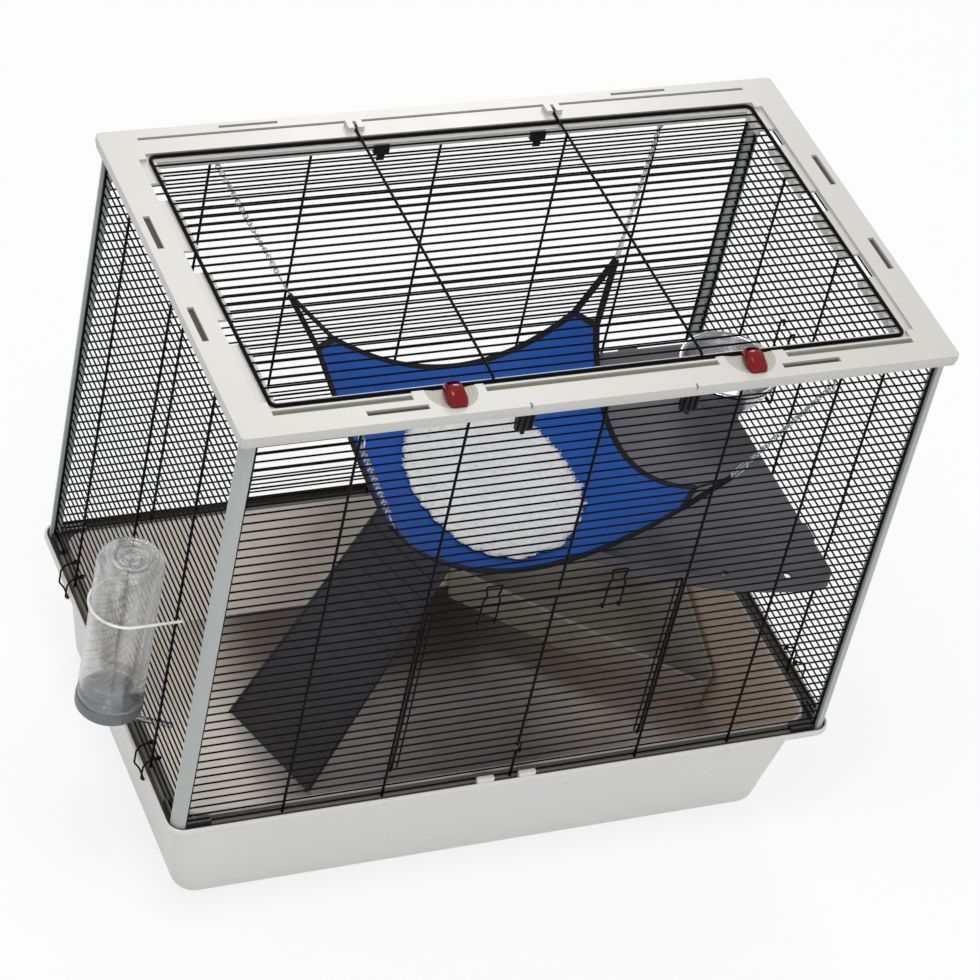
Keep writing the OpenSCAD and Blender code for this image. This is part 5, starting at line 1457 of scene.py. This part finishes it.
# %% Tufts of pile
def tufts(name, count, rim_share):
    curve = bpy.data.curves.new(name, "CURVE")
    curve.dimensions = "3D"
    curve.bevel_depth = 0.55 * MM
    curve.bevel_resolution = 0
    for i in range(count):
        angle = random.uniform(0, 2 * math.pi)
        at_rim = i < count * rim_share
        r = random.uniform(0.955, 1.0) if at_rim else math.sqrt(random.uniform(0, 0.9))
        lift = random.uniform(1.2, 4.5) if at_rim else 6.0
        foot = fleece_place(r, angle, lift)
        out = (fleece_place(r + 0.05, angle, lift) - foot).normalized()
        turn = random.uniform(-1.2, 1.2)
        lean = Vector((out.x * math.cos(turn) - out.y * math.sin(turn),
            out.x * math.sin(turn) + out.y * math.cos(turn), 0))
        length = random.uniform(2.0, 4.2) if at_rim else random.uniform(1.6, 3.0)
        rise = random.uniform(0.0, 0.8) if at_rim else random.uniform(0.35, 0.9)
        spline = curve.splines.new("POLY")
        spline.points.add(2)
        for at, (share, thin) in zip(spline.points, ((0, 1.0), (0.55, 0.8), (1.0, 0.15))):
            up = Vector((0, 0, rise * length * share * (1.2 - 0.5 * share)))
            p = foot + lean * length * share + up
            at.co = (p.x * MM, p.y * MM, p.z * MM, 1.0)
            at.radius = thin
        spline.use_smooth = True
    helper = bpy.data.objects.new(name + "_path", curve)
    bpy.context.scene.collection.objects.link(helper)
    mesh = baked(helper)
    bpy.data.objects.remove(helper)
    return link(name, mesh, white_fleece, "cage", (), 80)


tufted = tufts("hammock_fleece_tufts", 2600, 0.5)
print("tuft faces:", len(tufted.data.polygons))

# %% [markdown]
# Each chain is real links: ovals of wire, every other one turned a quarter. An oval is a circle
# cut in two halves that are moved apart along the chain.

# %% Helper: an oval link
def oval(centre, along, wide, length, width, count=12):
    points = []
    for i in range(count):
        a = 2 * math.pi * i / count
        reach = (length - width) / 2 * (1 if math.cos(a) > 0 else -1)
        points.append(centre + along * (reach + width / 2 * math.cos(a))
            + wide * width / 2 * math.sin(a))
    return points


print("points in a link:", len(oval(Vector(), Vector((0, 0, 1)), Vector((1, 0, 0)), 6.8, 4.6)))

# %% [markdown]
# The chains run from a ring on the wall's third bar from the top down to a snap hook, a long
# loop of springy wire with a straight gate inside it, that goes through the straps.

# %% Chains, rings and snap hooks
HANG_X = 257
HANG_Y = 224
HANG_Z = bar_z(45) - 3.1
HANG_R = 7
LINK_PITCH = 4.9
LINK_WIDE = 4.6
HOOK_SPAN = 27
for (side, end), point in APEX.items():
    name = "%s_%s" % (end, side)
    centre = Vector((-HANG_X if side == "left" else HANG_X, -HANG_Y if end == "front" else HANG_Y, HANG_Z))
    tip = Vector(point)
    foot = centre + Vector((0, tip.y - centre.y, tip.z - centre.z)).normalized() * HANG_R
    down = (tip - foot).normalized()
    first = Vector((1, 0, 0)).cross(down).normalized()
    second = down.cross(first).normalized()
    wires("hammock_ring_" + name + "_wire", [], 0.95, chain_steel,
        nodes=("hammock_ring_" + name,), loops=[circle(centre, HANG_R, (1, 2), 28)])
    span = (tip - foot).length - HOOK_SPAN
    count = int(span / LINK_PITCH)
    pitch = span / count
    links = [oval(foot + down * (pitch * (i + 0.5)), down, first if i % 2 else second,
        pitch + 1.9, LINK_WIDE) for i in range(count)]
    hook = oval(foot + down * (span + 13), down, first, 27.5, 7.0, 24)
    gate_top = foot + down * (span + 3)
    gate = [gate_top + first * 0.5, gate_top + first * 0.5 + down * 21]
    joined("hammock_chain_%s_links" % name, [
        wires(name + "_links", [], 0.75, chain_steel, loops=links, sides=6),
        wires(name + "_hook", [gate], 0.8, chain_steel, loops=[hook], sides=8)],
        "cage", ("hammock_chain_" + name,))
print("links in the last chain:", count)

# %% [markdown]

print("hammock pieces made")

# %% [markdown]
# The cage stands on a plain white floor in front of a white world. The floor shows white to the
# camera by Light Path, and still takes the cage's shadow. Glossy and transmitted rays see the
# same white, so that it shows in the latches and through the bottle.

# %% Floor
def seen_by(tree, first, *others):
    """1 for the named rays, 0 for all others."""
    rays = node(tree, "ShaderNodeLightPath")
    seen = rays.outputs[first]
    for other in others:
        seen = node(tree, "ShaderNodeMath", {0: seen, 1: rays.outputs[other]},
            operation="MAXIMUM").outputs[0]
    return seen


white = bpy.data.materials.new("studio_white")
white.use_nodes = True
tree = white.node_tree
tree.nodes.clear()
matt = node(tree, "ShaderNodeBsdfDiffuse", {"Color": (0.86, 0.86, 0.86, 1.0)})
glow = node(tree, "ShaderNodeEmission", {"Color": (1.0, 1.0, 1.0, 1.0), "Strength": 1.0})
seen = seen_by(tree, "Is Camera Ray", "Is Glossy Ray", "Is Transmission Ray")
part = node(tree, "ShaderNodeMath", {0: seen, 1: 0.8}, operation="MULTIPLY")
both = node(tree, "ShaderNodeMixShader", {0: part.outputs[0], 1: matt.outputs[0], 2: glow.outputs[0]})
node(tree, "ShaderNodeOutputMaterial", {"Surface": both.outputs[0]})
bm = bmesh.new()
bmesh.ops.create_grid(bm, x_segments=1, y_segments=1, size=12.0)
floor_mesh = bpy.data.meshes.new("studio_floor")
bm.to_mesh(floor_mesh)
bm.free()
floor_mesh.materials.append(white)
floor = bpy.data.objects.new("studio_floor", floor_mesh)
bpy.context.scene.collection.objects.link(floor)
print("floor made")

# %% [markdown]
# The world fills the shadows from all sides with weak, slightly cool light, and shows pure white
# to the camera and through the bottle.

# %% World
world = bpy.data.worlds.new("studio")
bpy.context.scene.world = world
world.use_nodes = True
tree = world.node_tree
tree.nodes.clear()
fill = node(tree, "ShaderNodeBackground", {"Color": (0.97, 0.98, 1.0, 1.0), "Strength": 0.60})
plain = node(tree, "ShaderNodeBackground", {"Color": (1.0, 1.0, 1.0, 1.0), "Strength": 1.0})
seen = seen_by(tree, "Is Camera Ray", "Is Transmission Ray")
mixed = node(tree, "ShaderNodeMixShader", {0: seen, 1: fill.outputs[0], 2: plain.outputs[0]})
node(tree, "ShaderNodeOutputWorld", {"Surface": mixed.outputs[0]})
print("world made")

# %% [markdown]
# Three large, soft lamps. The key hangs high above the cage, a little to the left and in front.
# The one behind, to the right, stands where the frame's flat top mirrors it to the camera. The
# low one in front lights the tray's front and the bars.

# %% Lamps
def lamp(name, place, aim, size, power):
    data = bpy.data.lights.new(name, "AREA")
    data.shape = "SQUARE"
    data.size = size
    data.energy = power
    thing = bpy.data.objects.new(name, data)
    thing.location = place
    thing.rotation_euler = (Vector(aim) - Vector(place)).to_track_quat("-Z", "Y").to_euler()
    bpy.context.scene.collection.objects.link(thing)
    return thing


key = lamp("key", (-0.9, -0.6, 4.4), (0, 0, 0.3), 1.7, 80)
lamp("over", (1.5, 3.2, 2.97), (0, 0, 0.6), 1.0, 30)
lamp("front", (-0.9, -4.0, 1.5), (0, 0, 0.35), 1.8, 28)
print("key lamp height:", round(key.location.z, 2))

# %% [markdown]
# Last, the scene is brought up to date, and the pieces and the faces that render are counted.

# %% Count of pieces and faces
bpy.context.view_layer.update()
faces = sum(len(o.data.polygons) for o in bpy.data.objects if o.type == "MESH" and not o.hide_render)
print("pieces:", len(pieces), "faces:", faces)
